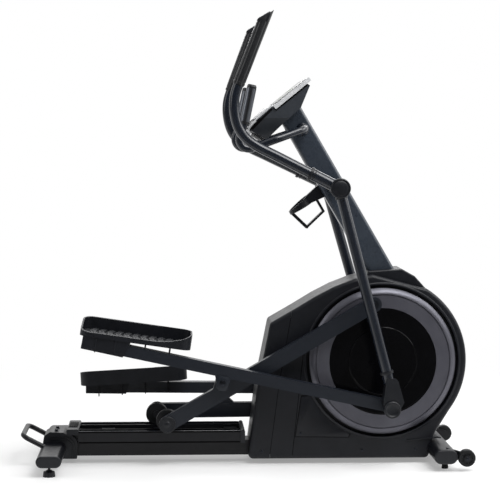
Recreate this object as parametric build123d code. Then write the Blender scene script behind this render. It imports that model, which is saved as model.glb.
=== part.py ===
from build123d import *
import math
import os

os.makedirs("parts", exist_ok=True)

# Drive linkage: crank, roller links, swing arms (millimetres, X forward, Y across, Z up from the floor)
CRANK_X = 527.0
CRANK_Z = 399.0
CRANK_RADIUS = 227.5
CRANK_REST = 100.2
LINK_LENGTH = 908.0
TRACK_Z = 125.5
ROLLER_RADIUS = 43.5
PIVOT_ALONG = 262.6
PIVOT_ABOVE = 38.9
ARM_PIVOT_X = 341.0
ARM_PIVOT_Z = 1068.5
ARM_REACH = 851.0
PEDAL_ARM_REACH = 638.8

# Layers across the machine, measured from the middle plane
SHROUD_HALF = 95.0
POCKET_FLOOR = 69.0
CRANK_ARM_IN = 72.0
CRANK_ARM_OUT = 86.0
DISC_FACE = 116.0
BOSS_FACE = 119.0
LINK_IN = 126.0
LINK_OUT = 156.0
PEDAL_ARM_IN = 165.0
PEDAL_ARM_OUT = 205.0
ARM_Y = 245.0
HUB_IN = 212.0
HUB_OUT = 285.0
ROLLER_Y = 69.5
ROLLER_WIDTH = 30.0

# Base, ramp and feet
BASE_BOTTOM = 27.0
BASE_TOP = 85.0
BASE_HALF = 40.0
REAR_X = -738.0
REAR_Z = 59.0
REAR_DEPTH = 95.0
REAR_HEIGHT = 44.0
REAR_HALF = 300.0
FRONT_X = 748.0
FRONT_Z = 56.0
FRONT_DEPTH = 89.0
FRONT_HEIGHT = 54.0
FRONT_HALF = 250.0
CAP_LENGTH = 15.0
LEVELLER_Y = REAR_HALF - 34.0
FRONT_FOOT_Y = FRONT_HALF - 70.0
WHEEL_X = 828.0
WHEEL_Z = 51.0
WHEEL_RADIUS = 32.5
WHEEL_Y = FRONT_HALF - 16.0
WHEEL_WIDTH = 28.0
REACH_X = WHEEL_X + WHEEL_RADIUS
HANDLE_TUBE = 19.0
HANDLE_HALF = 110.0
HANDLE_Z = 120.0
RAIL_REAR = -640.0
RAIL_FRONT = -18.0
RAIL_OUTER = 92.0
RAIL_INNER = 42.0
RAIL_BOTTOM = 90.0
RAIL_TOP = 131.0

# Mast, handlebars and console
MAST_LEAN = 30.2
MAST_DEPTH = 94.0
MAST_WIDTH = 70.0
MAST_FOOT = -530.0
MAST_HEAD = 335.0
SHAFT_DIA = 25.0
ARM_TUBE = 40.0
GRIP_DIA = 42.0
BAR_TUBE = 30.0
PULSE_DIA = 36.0
BAR_HALF = 178.0
CONSOLE_HALF = 172.0

# Drive train inside the housing
FLYWHEEL_X = 235.0
FLYWHEEL_Z = 296.0
FLYWHEEL_RADIUS = 138.0
FLYWHEEL_HALF = 22.0
PULLEY_RADIUS = 150.0
SMALL_RADIUS = 25.0
BELT_IN = 44.0
BELT_OUT = 58.0
BELT_THICK = 3.0
IDLER_RADIUS = 20.0
DISC_RADIUS = 281.0
CENTRE_RADIUS = 206.0
DISC_GAP = 12.0
POCKET_RADIUS = DISC_RADIUS + DISC_GAP

# Walls and clearances
TUBE_WALL = 3.0
SHROUD_WALL = 3.0
RUN_GAP = 0.6
BORE_GAP = 0.1
SEAM_GAP = 0.5


def slab(sketch, y_in, y_out):
    # Solid from a side-view sketch, between two layers on the right side
    return extrude(Plane.XZ.offset(y_in) * sketch, y_out - y_in, dir=(0, -1, 0))


def across(sketch, half):
    # Solid from a side-view sketch, reaching the same distance both sides of the middle
    return slab(sketch, -half, half)


def polygon(*points):
    return Polygon(*points, align=None)


def disc(point, radius):
    return Pos(point[0], point[1]) * Circle(radius)


def drum(point, radius, y_in, y_out):
    return slab(disc(point, radius), y_in, y_out)


def box(x, y, z):
    # Block from three (low, high) ranges
    size = [high - low for low, high in (x, y, z)]
    middle = [(high + low) / 2 for low, high in (x, y, z)]
    return Pos(*middle) * Box(*size)


def mirrored(shape):
    return mirror(shape, about=Plane.XZ)


def pair(shape):
    # The same piece on both sides, as two separate solids
    return Compound(children=[shape, mirrored(shape)])


def placed(point, pitch, shape):
    # Local side-view frame, nose up by the pitch angle, moved to a point
    return Pos(point[0], 0, point[1]) * Rot(0, -pitch, 0) * shape


def bar_between(a, b, height):
    # Side-view strip centred on the line from a to b
    length = math.dist(a, b)
    turn = math.degrees(math.atan2(b[1] - a[1], b[0] - a[0]))
    return Pos((a[0] + b[0]) / 2, (a[1] + b[1]) / 2) * Rot(0, 0, turn) * Rectangle(length, height)


def rod(line, radius):
    # Round bar along a line or curve
    return sweep(Plane(line @ 0, z_dir=line % 0) * Circle(radius), path=line)


def save(name, shape):
    export_step(shape, f"parts/{name}.step")


def linkage(crank_angle):
    # Rest positions of one side for a crank angle in degrees from forward, anticlockwise
    turn = math.radians(crank_angle)
    pin = (CRANK_X + CRANK_RADIUS * math.cos(turn), CRANK_Z + CRANK_RADIUS * math.sin(turn))
    roller_z = TRACK_Z + ROLLER_RADIUS
    rise = pin[1] - roller_z
    run = math.sqrt(LINK_LENGTH**2 - rise**2)
    roller = (pin[0] - run, roller_z)
    c, s = run / LINK_LENGTH, rise / LINK_LENGTH
    pivot = (
        roller[0] + PIVOT_ALONG * c - PIVOT_ABOVE * s,
        roller[1] + PIVOT_ALONG * s + PIVOT_ABOVE * c,
    )
    dx, dz = ARM_PIVOT_X - pivot[0], ARM_PIVOT_Z - pivot[1]
    far = math.hypot(dx, dz)
    along = (PEDAL_ARM_REACH**2 - ARM_REACH**2 + far**2) / (2 * far)
    aside = math.sqrt(PEDAL_ARM_REACH**2 - along**2)
    foot = (
        pivot[0] + (along * dx + aside * dz) / far,
        pivot[1] + (along * dz - aside * dx) / far,
    )
    return {
        "pin": pin,
        "roller": roller,
        "pivot": pivot,
        "foot": foot,
        "link_pitch": math.degrees(math.atan2(rise, run)),
        "pedal_pitch": math.degrees(math.atan2(foot[1] - pivot[1], foot[0] - pivot[0])),
        "arm_swing": math.degrees(math.atan2(foot[0] - ARM_PIVOT_X, ARM_PIVOT_Z - foot[1])),
    }


RIGHT = linkage(CRANK_REST)
LEFT = linkage(CRANK_REST + 180)
SIDES = {"right": RIGHT, "left": LEFT}
CRANK = (CRANK_X, CRANK_Z)
ARM_PIVOT = (ARM_PIVOT_X, ARM_PIVOT_Z)
FLYWHEEL = (FLYWHEEL_X, FLYWHEEL_Z)

# Obround stabilizer sections, used by every piece that meets them
rear_section = Pos(REAR_X, REAR_Z) * SlotOverall(REAR_DEPTH, REAR_HEIGHT)
front_section = Pos(FRONT_X, FRONT_Z) * SlotOverall(FRONT_DEPTH, FRONT_HEIGHT)
rear_bar = across(rear_section, REAR_HALF)
front_bar = across(front_section, FRONT_HALF)

# Mast outline in its own frame: local Z along the mast, origin at the swing arm shaft
lean = Pos(ARM_PIVOT_X, 0, ARM_PIVOT_Z) * Rot(0, -MAST_LEAN, 0)
mast_section = fillet(Rectangle(MAST_DEPTH, MAST_WIDTH).vertices(), 14)
mast_bore = offset(mast_section, -TUBE_WALL)


def mast_length(section, low, high):
    return lean * Pos(0, 0, low) * extrude(section, high - low)


def mast_point(along, forward=0.0):
    turn = math.radians(MAST_LEAN)
    return (
        ARM_PIVOT_X - along * math.sin(turn) + forward * math.cos(turn),
        ARM_PIVOT_Z + along * math.cos(turn) + forward * math.sin(turn),
    )


# Base frame: main tube, upright post up to the mast, crank bearing shell and flywheel fork
main_tube = box((REAR_X + 20, FRONT_X - 20), (-BASE_HALF, BASE_HALF), (BASE_BOTTOM, BASE_TOP))
main_tube -= box(
    (REAR_X, FRONT_X),
    (TUBE_WALL - BASE_HALF, BASE_HALF - TUBE_WALL),
    (BASE_BOTTOM + TUBE_WALL, BASE_TOP - TUBE_WALL),
)
main_tube = main_tube - rear_bar - front_bar
RECEIVER_TOP = MAST_FOOT - 8
knee = mast_point(-680)
mast_half = MAST_DEPTH / 2
post_half = 35.0
post_outline = polygon(
    (knee[0] - post_half, BASE_TOP),
    (knee[0] + post_half, BASE_TOP),
    (knee[0] + post_half, knee[1] + 12),
    mast_point(RECEIVER_TOP - 8, mast_half),
    mast_point(RECEIVER_TOP - 8, -mast_half),
    (knee[0] - post_half, knee[1] - 12),
)
post = across(post_outline, MAST_WIDTH / 2)
post -= across(offset(post_outline, -TUBE_WALL), MAST_WIDTH / 2 - TUBE_WALL)
receiver_plate = mast_length(Rectangle(MAST_DEPTH + 26, MAST_WIDTH + 16), RECEIVER_TOP - 8, RECEIVER_TOP)
SHELL_HALF = 36.0
shell_bore = 26.0
bracket = box((CRANK_X + 30, knee[0] - post_half), (-26, 26), (CRANK_Z - 24, CRANK_Z + 24))
strut = across(bar_between((CRANK_X, CRANK_Z), (CRANK_X - 60, BASE_TOP - 4), 30), 20)
strut &= box((0, 700), (-100, 100), (BASE_TOP, CRANK_Z))
bearing_shell = across(disc(CRANK, 36), SHELL_HALF)
fork_outline = polygon(
    (FLYWHEEL_X - 60, BASE_TOP),
    (FLYWHEEL_X + 60, BASE_TOP),
    (FLYWHEEL_X + 22, FLYWHEEL_Z),
    (FLYWHEEL_X - 22, FLYWHEEL_Z),
)
fork_plate = slab(fork_outline + disc(FLYWHEEL, 22), 33, BASE_HALF)
base_frame = main_tube + post + receiver_plate + bracket + strut + bearing_shell
base_frame = base_frame + fork_plate + mirrored(fork_plate)
base_frame -= across(disc(CRANK, shell_bore), SHELL_HALF + 1)
FLY_SHAFT = 17.0
base_frame -= across(disc(FLYWHEEL, FLY_SHAFT / 2 + BORE_GAP), BASE_HALF + 1)

# Stabilizers, end caps and feet
STUD_DIA = 10.0
rear_tube = across(rear_section, REAR_HALF - CAP_LENGTH)
rear_tube -= across(offset(rear_section, -TUBE_WALL), REAR_HALF)
for side in (-1, 1):
    rear_tube -= Pos(REAR_X, side * LEVELLER_Y, REAR_Z - REAR_HEIGHT / 2) * Cylinder(STUD_DIA / 2 + RUN_GAP, 20)
save("rear_stabilizer", rear_tube)
front_tube = across(front_section, FRONT_HALF - CAP_LENGTH)
front_tube -= across(offset(front_section, -TUBE_WALL), FRONT_HALF)
caps = []
for section, half in ((rear_section, REAR_HALF), (front_section, FRONT_HALF)):
    cap = slab(section, half - CAP_LENGTH, half)
    cap = fillet(cap.faces().sort_by(Axis.Y)[0].edges(), 6)
    caps += [cap, mirrored(cap)]
save("stabilizer_caps", Compound(children=caps))
front_foot_top = FRONT_Z - FRONT_HEIGHT / 2
front_foot = Pos(FRONT_X + 8, -FRONT_FOOT_Y, front_foot_top / 2) * Cone(13, 10, front_foot_top)
save("front_feet", pair(front_foot))
LEVELLER_HEIGHT = 24.0
knob = Pos(0, 0, LEVELLER_HEIGHT / 2 - 3) * Cone(23.5, 21, LEVELLER_HEIGHT - 6)
knob += Pos(0, 0, LEVELLER_HEIGHT - 3) * Cone(16, 10, 6)
for step in range(10):
    knob -= Rot(0, 0, 36 * step) * Pos(26.5, 0, LEVELLER_HEIGHT / 2) * Cylinder(5, LEVELLER_HEIGHT + 1)
stud_top = REAR_Z + REAR_HEIGHT / 2 - TUBE_WALL - 4
knob += Pos(0, 0, (LEVELLER_HEIGHT + stud_top) / 2) * Cylinder(STUD_DIA / 2, stud_top - LEVELLER_HEIGHT)
save("right_leveller", Pos(REAR_X, -LEVELLER_Y, 0) * knob)
save("left_leveller", Pos(REAR_X, LEVELLER_Y, 0) * knob)

# Transport wheels: a plate on the front stabilizer carries each stub axle
wheel_in = WHEEL_Y - WHEEL_WIDTH / 2
WHEEL_BORE = 12.0
wheel = (WHEEL_X, WHEEL_Z)
plate = polygon(
    (FRONT_X, FRONT_Z - 16),
    (WHEEL_X + 6, WHEEL_Z - 13),
    (WHEEL_X + 6, WHEEL_Z + 13),
    (FRONT_X + 6, FRONT_Z + FRONT_HEIGHT / 2 + 4),
)
plate += disc(wheel, 14)
wheel_bracket = slab(plate, wheel_in - 8, wheel_in - 2) - front_bar
wheel_bracket += drum(wheel, WHEEL_BORE / 2, wheel_in - 4, WHEEL_Y + WHEEL_WIDTH / 2 + 3)
wheel_bracket += drum(wheel, WHEEL_BORE, WHEEL_Y + WHEEL_WIDTH / 2 + RUN_GAP, WHEEL_Y + WHEEL_WIDTH / 2 + 6)
save("front_stabilizer", front_tube + wheel_bracket + mirrored(wheel_bracket))
tyre = drum(wheel, WHEEL_RADIUS, wheel_in, WHEEL_Y + WHEEL_WIDTH / 2)
tyre = fillet(tyre.edges().filter_by(GeomType.CIRCLE), 5)
tyre -= drum(wheel, WHEEL_RADIUS - 10, WHEEL_Y + WHEEL_WIDTH / 2 - 4, WHEEL_Y + WHEEL_WIDTH)
tyre += drum(wheel, 14, WHEEL_Y, WHEEL_Y + WHEEL_WIDTH / 2)
tyre -= drum(wheel, WHEEL_BORE / 2 + BORE_GAP, wheel_in - 1, WHEEL_Y + WHEEL_WIDTH)
save("right_wheel", tyre)
save("left_wheel", mirrored(tyre))

# Lift handle: a bent bar standing out behind the rear stabilizer
handle_end = -REACH_X + HANDLE_TUBE / 2
handle_path = FilletPolyline(
    (REAR_X - 20, -HANDLE_HALF, REAR_Z + 12),
    (handle_end, -HANDLE_HALF, HANDLE_Z),
    (handle_end, HANDLE_HALF, HANDLE_Z),
    (REAR_X - 20, HANDLE_HALF, REAR_Z + 12),
    radius=28,
)
save("lift_handle", rod(handle_path, HANDLE_TUBE / 2) - rear_bar)

# Ramp: each rail is a track strip welded between two side bars, with cross members, end stops and bumpers
RAIL_WALL = 4.0
rail_run = (RAIL_REAR, RAIL_FRONT)
track = box(rail_run, (RAIL_WALL - RAIL_OUTER, -RAIL_INNER - RAIL_WALL), (TRACK_Z - RAIL_WALL, TRACK_Z))
outer_bar = box(rail_run, (-RAIL_OUTER, RAIL_WALL - RAIL_OUTER), (RAIL_BOTTOM, RAIL_TOP))
inner_bar = box(rail_run, (-RAIL_INNER - RAIL_WALL, -RAIL_INNER), (RAIL_BOTTOM, RAIL_TOP))
ramp = []
for bar in (track, outer_bar, inner_bar):
    ramp += [bar, mirrored(bar)]
for x in (RAIL_REAR + 110, (RAIL_REAR + RAIL_FRONT) / 2, RAIL_FRONT - 36):
    ramp.append(box((x - 25, x + 25), (-RAIL_INNER, RAIL_INNER), (RAIL_BOTTOM, TRACK_Z - RAIL_WALL)))
save("ramp_rails", Compound(children=ramp))
STOP_BOTTOM = RAIL_TOP - 13.0
rear_stop = box((RAIL_REAR - 46, RAIL_REAR), (-RAIL_OUTER, RAIL_OUTER), (STOP_BOTTOM, RAIL_TOP + 9))
rear_stop = fillet(rear_stop.edges().filter_by(Axis.Y).group_by(Axis.Z)[-1], 6)
rear_stop += box((RAIL_REAR - 40, RAIL_REAR), (-BASE_HALF, BASE_HALF), (BASE_TOP, STOP_BOTTOM + 1))
front_stop = box((RAIL_FRONT, -1), (-RAIL_OUTER - 4, RAIL_OUTER + 4), (BASE_TOP, RAIL_TOP + 4))
front_stop = fillet(front_stop.edges().filter_by(Axis.Y).group_by(Axis.Z)[-1], 8)
save("ramp_end_stops", Compound(children=[rear_stop, front_stop]))
bumpers = []
for x in (RAIL_REAR + 110, RAIL_FRONT - 36):
    bumpers.append(box((x - 20, x + 20), (-BASE_HALF + 2, BASE_HALF - 2), (BASE_TOP, RAIL_BOTTOM)))
save("ramp_bumpers", Compound(children=bumpers))

# Moulded cover where the main tube meets the rear stabilizer
cover_outline = polygon(
    (REAR_X - 44, REAR_Z + 6),
    (REAR_X - 36, REAR_Z + 50),
    (REAR_X - 14, REAR_Z + 64),
    (RAIL_REAR - 62, REAR_Z + 62),
    (RAIL_REAR - 50, STOP_BOTTOM - 3),
    (RAIL_REAR - 28, STOP_BOTTOM - 7),
    (RAIL_REAR - 12, STOP_BOTTOM - 22),
    (RAIL_REAR - 5, BASE_TOP - 8),
    (RAIL_REAR - 8, BASE_BOTTOM - 8),
    (REAR_X + 34, BASE_BOTTOM - 8),
)
rear_cover = across(fillet(cover_outline.vertices(), 4), 58)
cover_hollow = box((REAR_X - 60, RAIL_REAR + 10), (-BASE_HALF - 1, BASE_HALF + 1), (0, BASE_TOP + SEAM_GAP))
rear_cover = rear_cover - cover_hollow - rear_bar - rear_stop
save("rear_cover", rear_cover)

# Console: back shell, keypad panel and display slab
face_low = (1.0, 1291.0)
face_mid = (95.0, 1372.0)
face_high = (232.0, 1483.0)
PANEL_THICK = 14.0
DISPLAY_THICK = 16.0


def panel(a, b, thick):
    # Side view of a plate lying under the line from a to b
    length = math.dist(a, b)
    nx, nz = (b[1] - a[1]) / length * thick, -(b[0] - a[0]) / length * thick
    return polygon(a, b, (b[0] + nx, b[1] + nz), (a[0] + nx, a[1] + nz))


keypad_outline = panel(face_low, face_mid, PANEL_THICK)
display_outline = panel((face_mid[0] + 4, face_mid[1] + 3), face_high, DISPLAY_THICK)
shell_outline = polygon(
    face_low,
    face_mid,
    (face_mid[0] + 8, face_mid[1] - 4),
    (222, 1462),
    (238, 1452),
    (204, 1369),
    (140, 1311),
    (79, 1250),
)
console_solid = across(shell_outline, CONSOLE_HALF)
front_view = polygon(
    (-CONSOLE_HALF, 1500),
    (-CONSOLE_HALF, 1330),
    (-CONSOLE_HALF + 46, 1245),
    (CONSOLE_HALF - 46, 1245),
    (CONSOLE_HALF, 1330),
    (CONSOLE_HALF, 1500),
)
console_solid &= extrude(Plane.YZ.offset(-50) * front_view, 400, dir=(1, 0, 0))
display_solid = across(display_outline, CONSOLE_HALF + 8)
display_solid = fillet(display_solid.edges().filter_by(Axis.Y), 3)
keypad_solid = across(keypad_outline, CONSOLE_HALF - 34)
hollow_outline = polygon((40, 1288), (106, 1345), (196, 1420), (206, 1412), (188, 1370), (132, 1320), (78, 1268))
hollow = across(hollow_outline, CONSOLE_HALF - 60)
save("console_shell", console_solid - hollow - display_solid - keypad_solid)
save("console_display", display_solid)
save("console_keypad", keypad_solid - display_solid)

# Mast with holes for the swing arm shaft and the fixed handlebar
bar_mount = mast_point(250, 8)
mast = mast_length(mast_section, MAST_FOOT, MAST_HEAD) - mast_length(mast_bore, MAST_FOOT - 1, MAST_HEAD + 1)
mast += mast_length(Rectangle(MAST_DEPTH + 26, MAST_WIDTH + 16), RECEIVER_TOP, MAST_FOOT)
mast -= across(disc(ARM_PIVOT, SHAFT_DIA / 2), 100)
mast -= across(disc(bar_mount, BAR_TUBE / 2), 100)
save("mast", mast - console_solid)

# Cross shaft for the swing arms with the fixed sleeves between mast and hubs
sleeve = drum(ARM_PIVOT, 26, MAST_WIDTH / 2, HUB_IN - RUN_GAP)
shaft = across(disc(ARM_PIVOT, SHAFT_DIA / 2), HUB_OUT - 4)
save("arm_shaft", shaft + sleeve + mirrored(sleeve))

# Fixed handlebar bent rearward and up on each side, with pulse grips
bar_line = FilletPolyline(
    (bar_mount[0], 0, bar_mount[1]),
    (bar_mount[0], -BAR_HALF + 58, bar_mount[1]),
    (118, -BAR_HALF, 1252),
    (-52, -BAR_HALF, 1190),
    (-9.6, -BAR_HALF, 1307),
    (18, -BAR_HALF, 1442),
    radius=36,
)
bar_envelope = rod(bar_line, BAR_TUBE / 2)
bar_right = bar_envelope - rod(bar_line, BAR_TUBE / 2 - TUBE_WALL)
handlebar = bar_right + mirrored(bar_right)
save("handlebar", handlebar)
grip_low = (-9.6, 1307.0)
grip_high = (18.0, 1442.0)
grip_length = math.dist(grip_low, grip_high)
grip_pitch = math.degrees(math.atan2(grip_high[0] - grip_low[0], grip_high[1] - grip_low[1]))
pulse = Pos(grip_low[0], -BAR_HALF, grip_low[1]) * Rot(0, grip_pitch, 0) * Pos(0, 0, grip_length / 2 + 5)
pulse_grip = pulse * (Cylinder(PULSE_DIA / 2, grip_length + 10))
pulse_grip = fillet(pulse_grip.edges().filter_by(GeomType.CIRCLE), 5)
save("pulse_grips", pair(pulse_grip - bar_envelope))

# Bottle holder: a deep hoop on a stem behind the mast, with a loop below that the bottle stands in
HOOP_RADIUS = 47.0
HOOP_DEEP = 34.0
hoop_along = -15.0
hoop_offset = -(mast_half + 101.0)
hoop = Circle(HOOP_RADIUS) - Circle(HOOP_RADIUS - 5)
holder = lean * Pos(hoop_offset, 0, hoop_along) * extrude(hoop, HOOP_DEEP)
stem_start = hoop_offset + HOOP_RADIUS - 3
hoop_tip = hoop_offset - HOOP_RADIUS - 2
slope_cut = polygon(
    mast_point(hoop_along + 13, hoop_tip),
    mast_point(hoop_along + HOOP_DEEP, stem_start),
    mast_point(hoop_along + HOOP_DEEP + 40, stem_start),
    mast_point(hoop_along + HOOP_DEEP + 40, hoop_tip),
)
holder -= across(slope_cut, HOOP_RADIUS + 5)
stem_outline = polygon(
    mast_point(hoop_along, stem_start),
    mast_point(hoop_along + HOOP_DEEP, stem_start),
    mast_point(hoop_along + HOOP_DEEP + 12, -mast_half),
    mast_point(hoop_along - 6, -mast_half),
)
stem = across(stem_outline, 14)
strap_points = [
    mast_point(hoop_along + 2, hoop_offset - HOOP_RADIUS + 8),
    mast_point(hoop_along - 73, hoop_offset - 17),
    mast_point(hoop_along - 52, stem_start + 26),
    mast_point(hoop_along + 6, stem_start + 26),
]
strap = bar_between(strap_points[0], strap_points[1], 12)
strap += bar_between(strap_points[1], strap_points[2], 8) + disc(strap_points[1], 5)
strap += bar_between(strap_points[2], strap_points[3], 9) + disc(strap_points[2], 4.5)
cup_space = lean * Pos(hoop_offset, 0, hoop_along) * extrude(Circle(HOOP_RADIUS - 5), HOOP_DEEP)
strap = across(strap, 15) - cup_space
save("bottle_holder", holder + stem + strap)

# Housing outline in side view, concentric with the crank at the front
NOSE_RADIUS = 326.0
nose_top = math.radians(58)
nose_low = math.radians(-36)


def nose(turn):
    return (CRANK_X + NOSE_RADIUS * math.cos(turn), CRANK_Z + NOSE_RADIUS * math.sin(turn))


lower_edge = Polyline(
    nose(nose_low),
    (731, 112),
    (708, 20),
    (9, 20),
    (46, 304),
    (68, 411),
    (95, 546),
    (192, 602),
    (268, 648),
    (340, 685),
    (418, 715),
    (488, 731),
    nose(nose_top),
)
nose_edge = ThreePointArc(nose(nose_top), nose((nose_top + nose_low) / 2), nose(nose_low))
EDGE_ROUND = 14.0
side_outline = make_face([lower_edge, nose_edge])
side_outline = fillet(side_outline.vertices(), 20)


def rounded_body(outline, half, radius):
    # Moulded body with both outer faces rounded over at the edge
    body = across(outline, half)
    body = fillet(body.faces().sort_by(Axis.Y)[0].edges(), radius)
    return fillet(body.faces().sort_by(Axis.Y)[-1].edges(), radius)


side_outer = rounded_body(side_outline, SHROUD_HALF, EDGE_ROUND)
inner_outline = offset(side_outline, -SHROUD_WALL)
side_inner = rounded_body(inner_outline, SHROUD_HALF - SHROUD_WALL, EDGE_ROUND - SHROUD_WALL)
pocket_back = drum(CRANK, POCKET_RADIUS + SHROUD_WALL, POCKET_FLOOR - SHROUD_WALL, SHROUD_HALF)
pocket_space = drum(CRANK, POCKET_RADIUS, POCKET_FLOOR, SHROUD_HALF + 1)
axle_hole = across(disc(CRANK, 34), SHROUD_HALF)
housing = side_outer - (side_inner - pocket_back - mirrored(pocket_back))
housing = housing - pocket_space - mirrored(pocket_space) - axle_hole
base_slot = box((-100, 900), (-BASE_HALF - 1, BASE_HALF + 1), (0, BASE_TOP + 1))
open_bottom = box((40, 690), (-SHROUD_HALF + 12, SHROUD_HALF - 12), (0, 40))
boot_outline = polygon((462, 690), (474, 743), (605, 751), (655, 723), (703, 670), (684, 638))
boot_space = across(offset(boot_outline, SEAM_GAP), 72 + SEAM_GAP)
housing = housing - base_slot - open_bottom - boot_space - front_bar

# Housing split into a wraparound rear panel and a shroud on each side
seam = [(94.4, 0), (94.4, 39), (128.9, 307.6), (182.6, 618), (182.6, 800)]
rear_zone = across(polygon((-50, 0), *seam, (-50, 800)), 200)
seam_strip = across(polygon(*[(x + SEAM_GAP, z) for x, z in seam], (900, 800), (900, 0)), 200)
half_space = box((-100, 1000), (-300, -SEAM_GAP / 2), (0, 900))
save("rear_panel", housing & rear_zone)
shroud_right = (housing & seam_strip) & half_space
save("right_shroud", shroud_right)
save("left_shroud", mirrored(shroud_right))

# Boot that closes the housing around the mast
boot = rounded_body(boot_outline, 72, 6)
boot -= across(offset(boot_outline, -SHROUD_WALL) + polygon((480, 630), (470, 695), (676, 646), (660, 612)), 66)
boot -= mast_length(offset(mast_section, SEAM_GAP), -560, -200)
boot -= post + receiver_plate
save("mast_boot", boot)

# Crank: axle in bearings, drive pulley, two arms and the discs that cover them
AXLE_DIA = 30.0
bearing_in = SHELL_HALF - 14
crank_bearing = drum(CRANK, shell_bore, bearing_in, SHELL_HALF)
crank_bearing -= drum(CRANK, AXLE_DIA / 2 + BORE_GAP, 0, SHELL_HALF + 1)
save("crank_bearings", pair(crank_bearing))
axle = across(disc(CRANK, AXLE_DIA / 2), CRANK_ARM_OUT)
save("crank_axle", axle)
pulley = slab(disc(CRANK, PULLEY_RADIUS), -BELT_OUT - 2, -BELT_IN + 2)
groove = slab(disc(CRANK, PULLEY_RADIUS + 5) - disc(CRANK, PULLEY_RADIUS - 3), -BELT_OUT - 0.5, -BELT_IN + 0.5)
pulley -= groove
for step in range(5):
    turn = math.radians(72 * step + 18)
    hole = (CRANK_X + 84 * math.cos(turn), CRANK_Z + 84 * math.sin(turn))
    pulley -= slab(disc(hole, 34), -BELT_OUT - 3, -BELT_IN + 3)
pulley += slab(disc(CRANK, 40), -BELT_OUT - 4, -BELT_IN + 3)
save("drive_pulley", pulley - axle)


def crank_side(pose):
    # Arm, ring and centre of one side, drawn on the right side
    pin = pose["pin"]
    arm = slab(bar_between(CRANK, pin, 44) + disc(CRANK, 34) + disc(pin, 26), CRANK_ARM_IN, CRANK_ARM_OUT)
    arm = arm + drum(pin, 22, CRANK_ARM_IN, BOSS_FACE) - axle
    boss = drum(pin, 22.5, CRANK_ARM_OUT, BOSS_FACE + 1)
    ring_points = [
        (CENTRE_RADIUS - 8, DISC_FACE - 10),
        (CENTRE_RADIUS, DISC_FACE - 10),
        (CENTRE_RADIUS, DISC_FACE - 3),
        (255, DISC_FACE - 3),
        (256, DISC_FACE - 6),
        (258, DISC_FACE - 6),
        (259, DISC_FACE - 1),
        (270, DISC_FACE - 4),
        (DISC_RADIUS, DISC_FACE - 18),
        (DISC_RADIUS, DISC_FACE - 26),
        (DISC_RADIUS - 4, DISC_FACE - 26),
        (DISC_RADIUS - 4, DISC_FACE - 20),
        (267, DISC_FACE - 9),
        (250, DISC_FACE - 9),
        (CENTRE_RADIUS + 6, DISC_FACE - 13),
        (CENTRE_RADIUS - 8, DISC_FACE - 13),
    ]
    dish_points = [
        (0, DISC_FACE - 10),
        (40, DISC_FACE - 10),
        (140, DISC_FACE - 8),
        (CENTRE_RADIUS - 6, DISC_FACE - 4.5),
        (CENTRE_RADIUS - SEAM_GAP, DISC_FACE - 4.5),
        (CENTRE_RADIUS - SEAM_GAP, DISC_FACE - 10),
        (CENTRE_RADIUS - 12, DISC_FACE - 10),
        (140, DISC_FACE - 13),
        (34, DISC_FACE - 14),
        (34, CRANK_ARM_OUT),
        (0, CRANK_ARM_OUT),
    ]
    turned = Plane(origin=(CRANK_X, 0, CRANK_Z), x_dir=(1, 0, 0), z_dir=(0, 0, 1))
    axis = Axis((CRANK_X, 0, CRANK_Z), (0, 1, 0))
    ring = revolve(turned * polygon(*[(r, -y) for r, y in ring_points]), axis)
    dish = revolve(turned * polygon(*[(r, -y) for r, y in dish_points]), axis)
    return arm, ring - boss, dish - boss


# Flywheel with its shaft and small pulley, belt and idler
flywheel = across(disc(FLYWHEEL, FLYWHEEL_RADIUS) - disc(FLYWHEEL, FLYWHEEL_RADIUS - 34), FLYWHEEL_HALF)
flywheel += across(disc(FLYWHEEL, FLYWHEEL_RADIUS - 30), 5)
flywheel += across(disc(FLYWHEEL, 24), FLYWHEEL_HALF + 4)
flywheel += slab(disc(FLYWHEEL, FLY_SHAFT / 2), -BELT_OUT - 5, BASE_HALF + 6)
flywheel += slab(disc(FLYWHEEL, SMALL_RADIUS), -BELT_OUT - 2, -BELT_IN + 2)
save("flywheel", flywheel)


def loop_face(extra):
    # Area enclosed by a belt line a given distance outside both pulleys
    big, small = PULLEY_RADIUS + extra, SMALL_RADIUS + extra
    dx, dz = FLYWHEEL_X - CRANK_X, FLYWHEEL_Z - CRANK_Z
    heading = math.atan2(dz, dx)
    spread = math.acos((big - small) / math.hypot(dx, dz))
    up, down = heading - spread, heading + spread
    corners = [
        (CRANK_X + big * math.cos(up), CRANK_Z + big * math.sin(up)),
        (FLYWHEEL_X + small * math.cos(up), FLYWHEEL_Z + small * math.sin(up)),
        (FLYWHEEL_X + small * math.cos(down), FLYWHEEL_Z + small * math.sin(down)),
        (CRANK_X + big * math.cos(down), CRANK_Z + big * math.sin(down)),
    ]
    return polygon(*corners) + disc(CRANK, big) + disc(FLYWHEEL, small), corners


belt_outer, tangent = loop_face(RUN_GAP + BELT_THICK)
belt_inner, _ = loop_face(RUN_GAP)
save("drive_belt", slab(belt_outer - belt_inner, -BELT_OUT, -BELT_IN))
low_span = (tangent[2], tangent[3]) if tangent[2][1] < tangent[1][1] else (tangent[1], tangent[0])
share = 0.3
touch = [a + (b - a) * share for a, b in zip(*low_span)]
span = math.dist(*low_span)
out = ((low_span[1][1] - low_span[0][1]) / span, -(low_span[1][0] - low_span[0][0]) / span)
idler = (
    touch[0] + out[0] * (IDLER_RADIUS + RUN_GAP),
    touch[1] + out[1] * (IDLER_RADIUS + RUN_GAP),
)
IDLER_SHAFT = 10.0
idler_pulley = slab(disc(idler, IDLER_RADIUS) - disc(idler, IDLER_SHAFT / 2 + BORE_GAP), -BELT_OUT, -BELT_IN)
save("idler_pulley", idler_pulley)
idler_arm = slab(bar_between((idler[0], BASE_TOP), idler, 30) + disc(idler, 15), -BASE_HALF, -BASE_HALF + 6)
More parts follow.
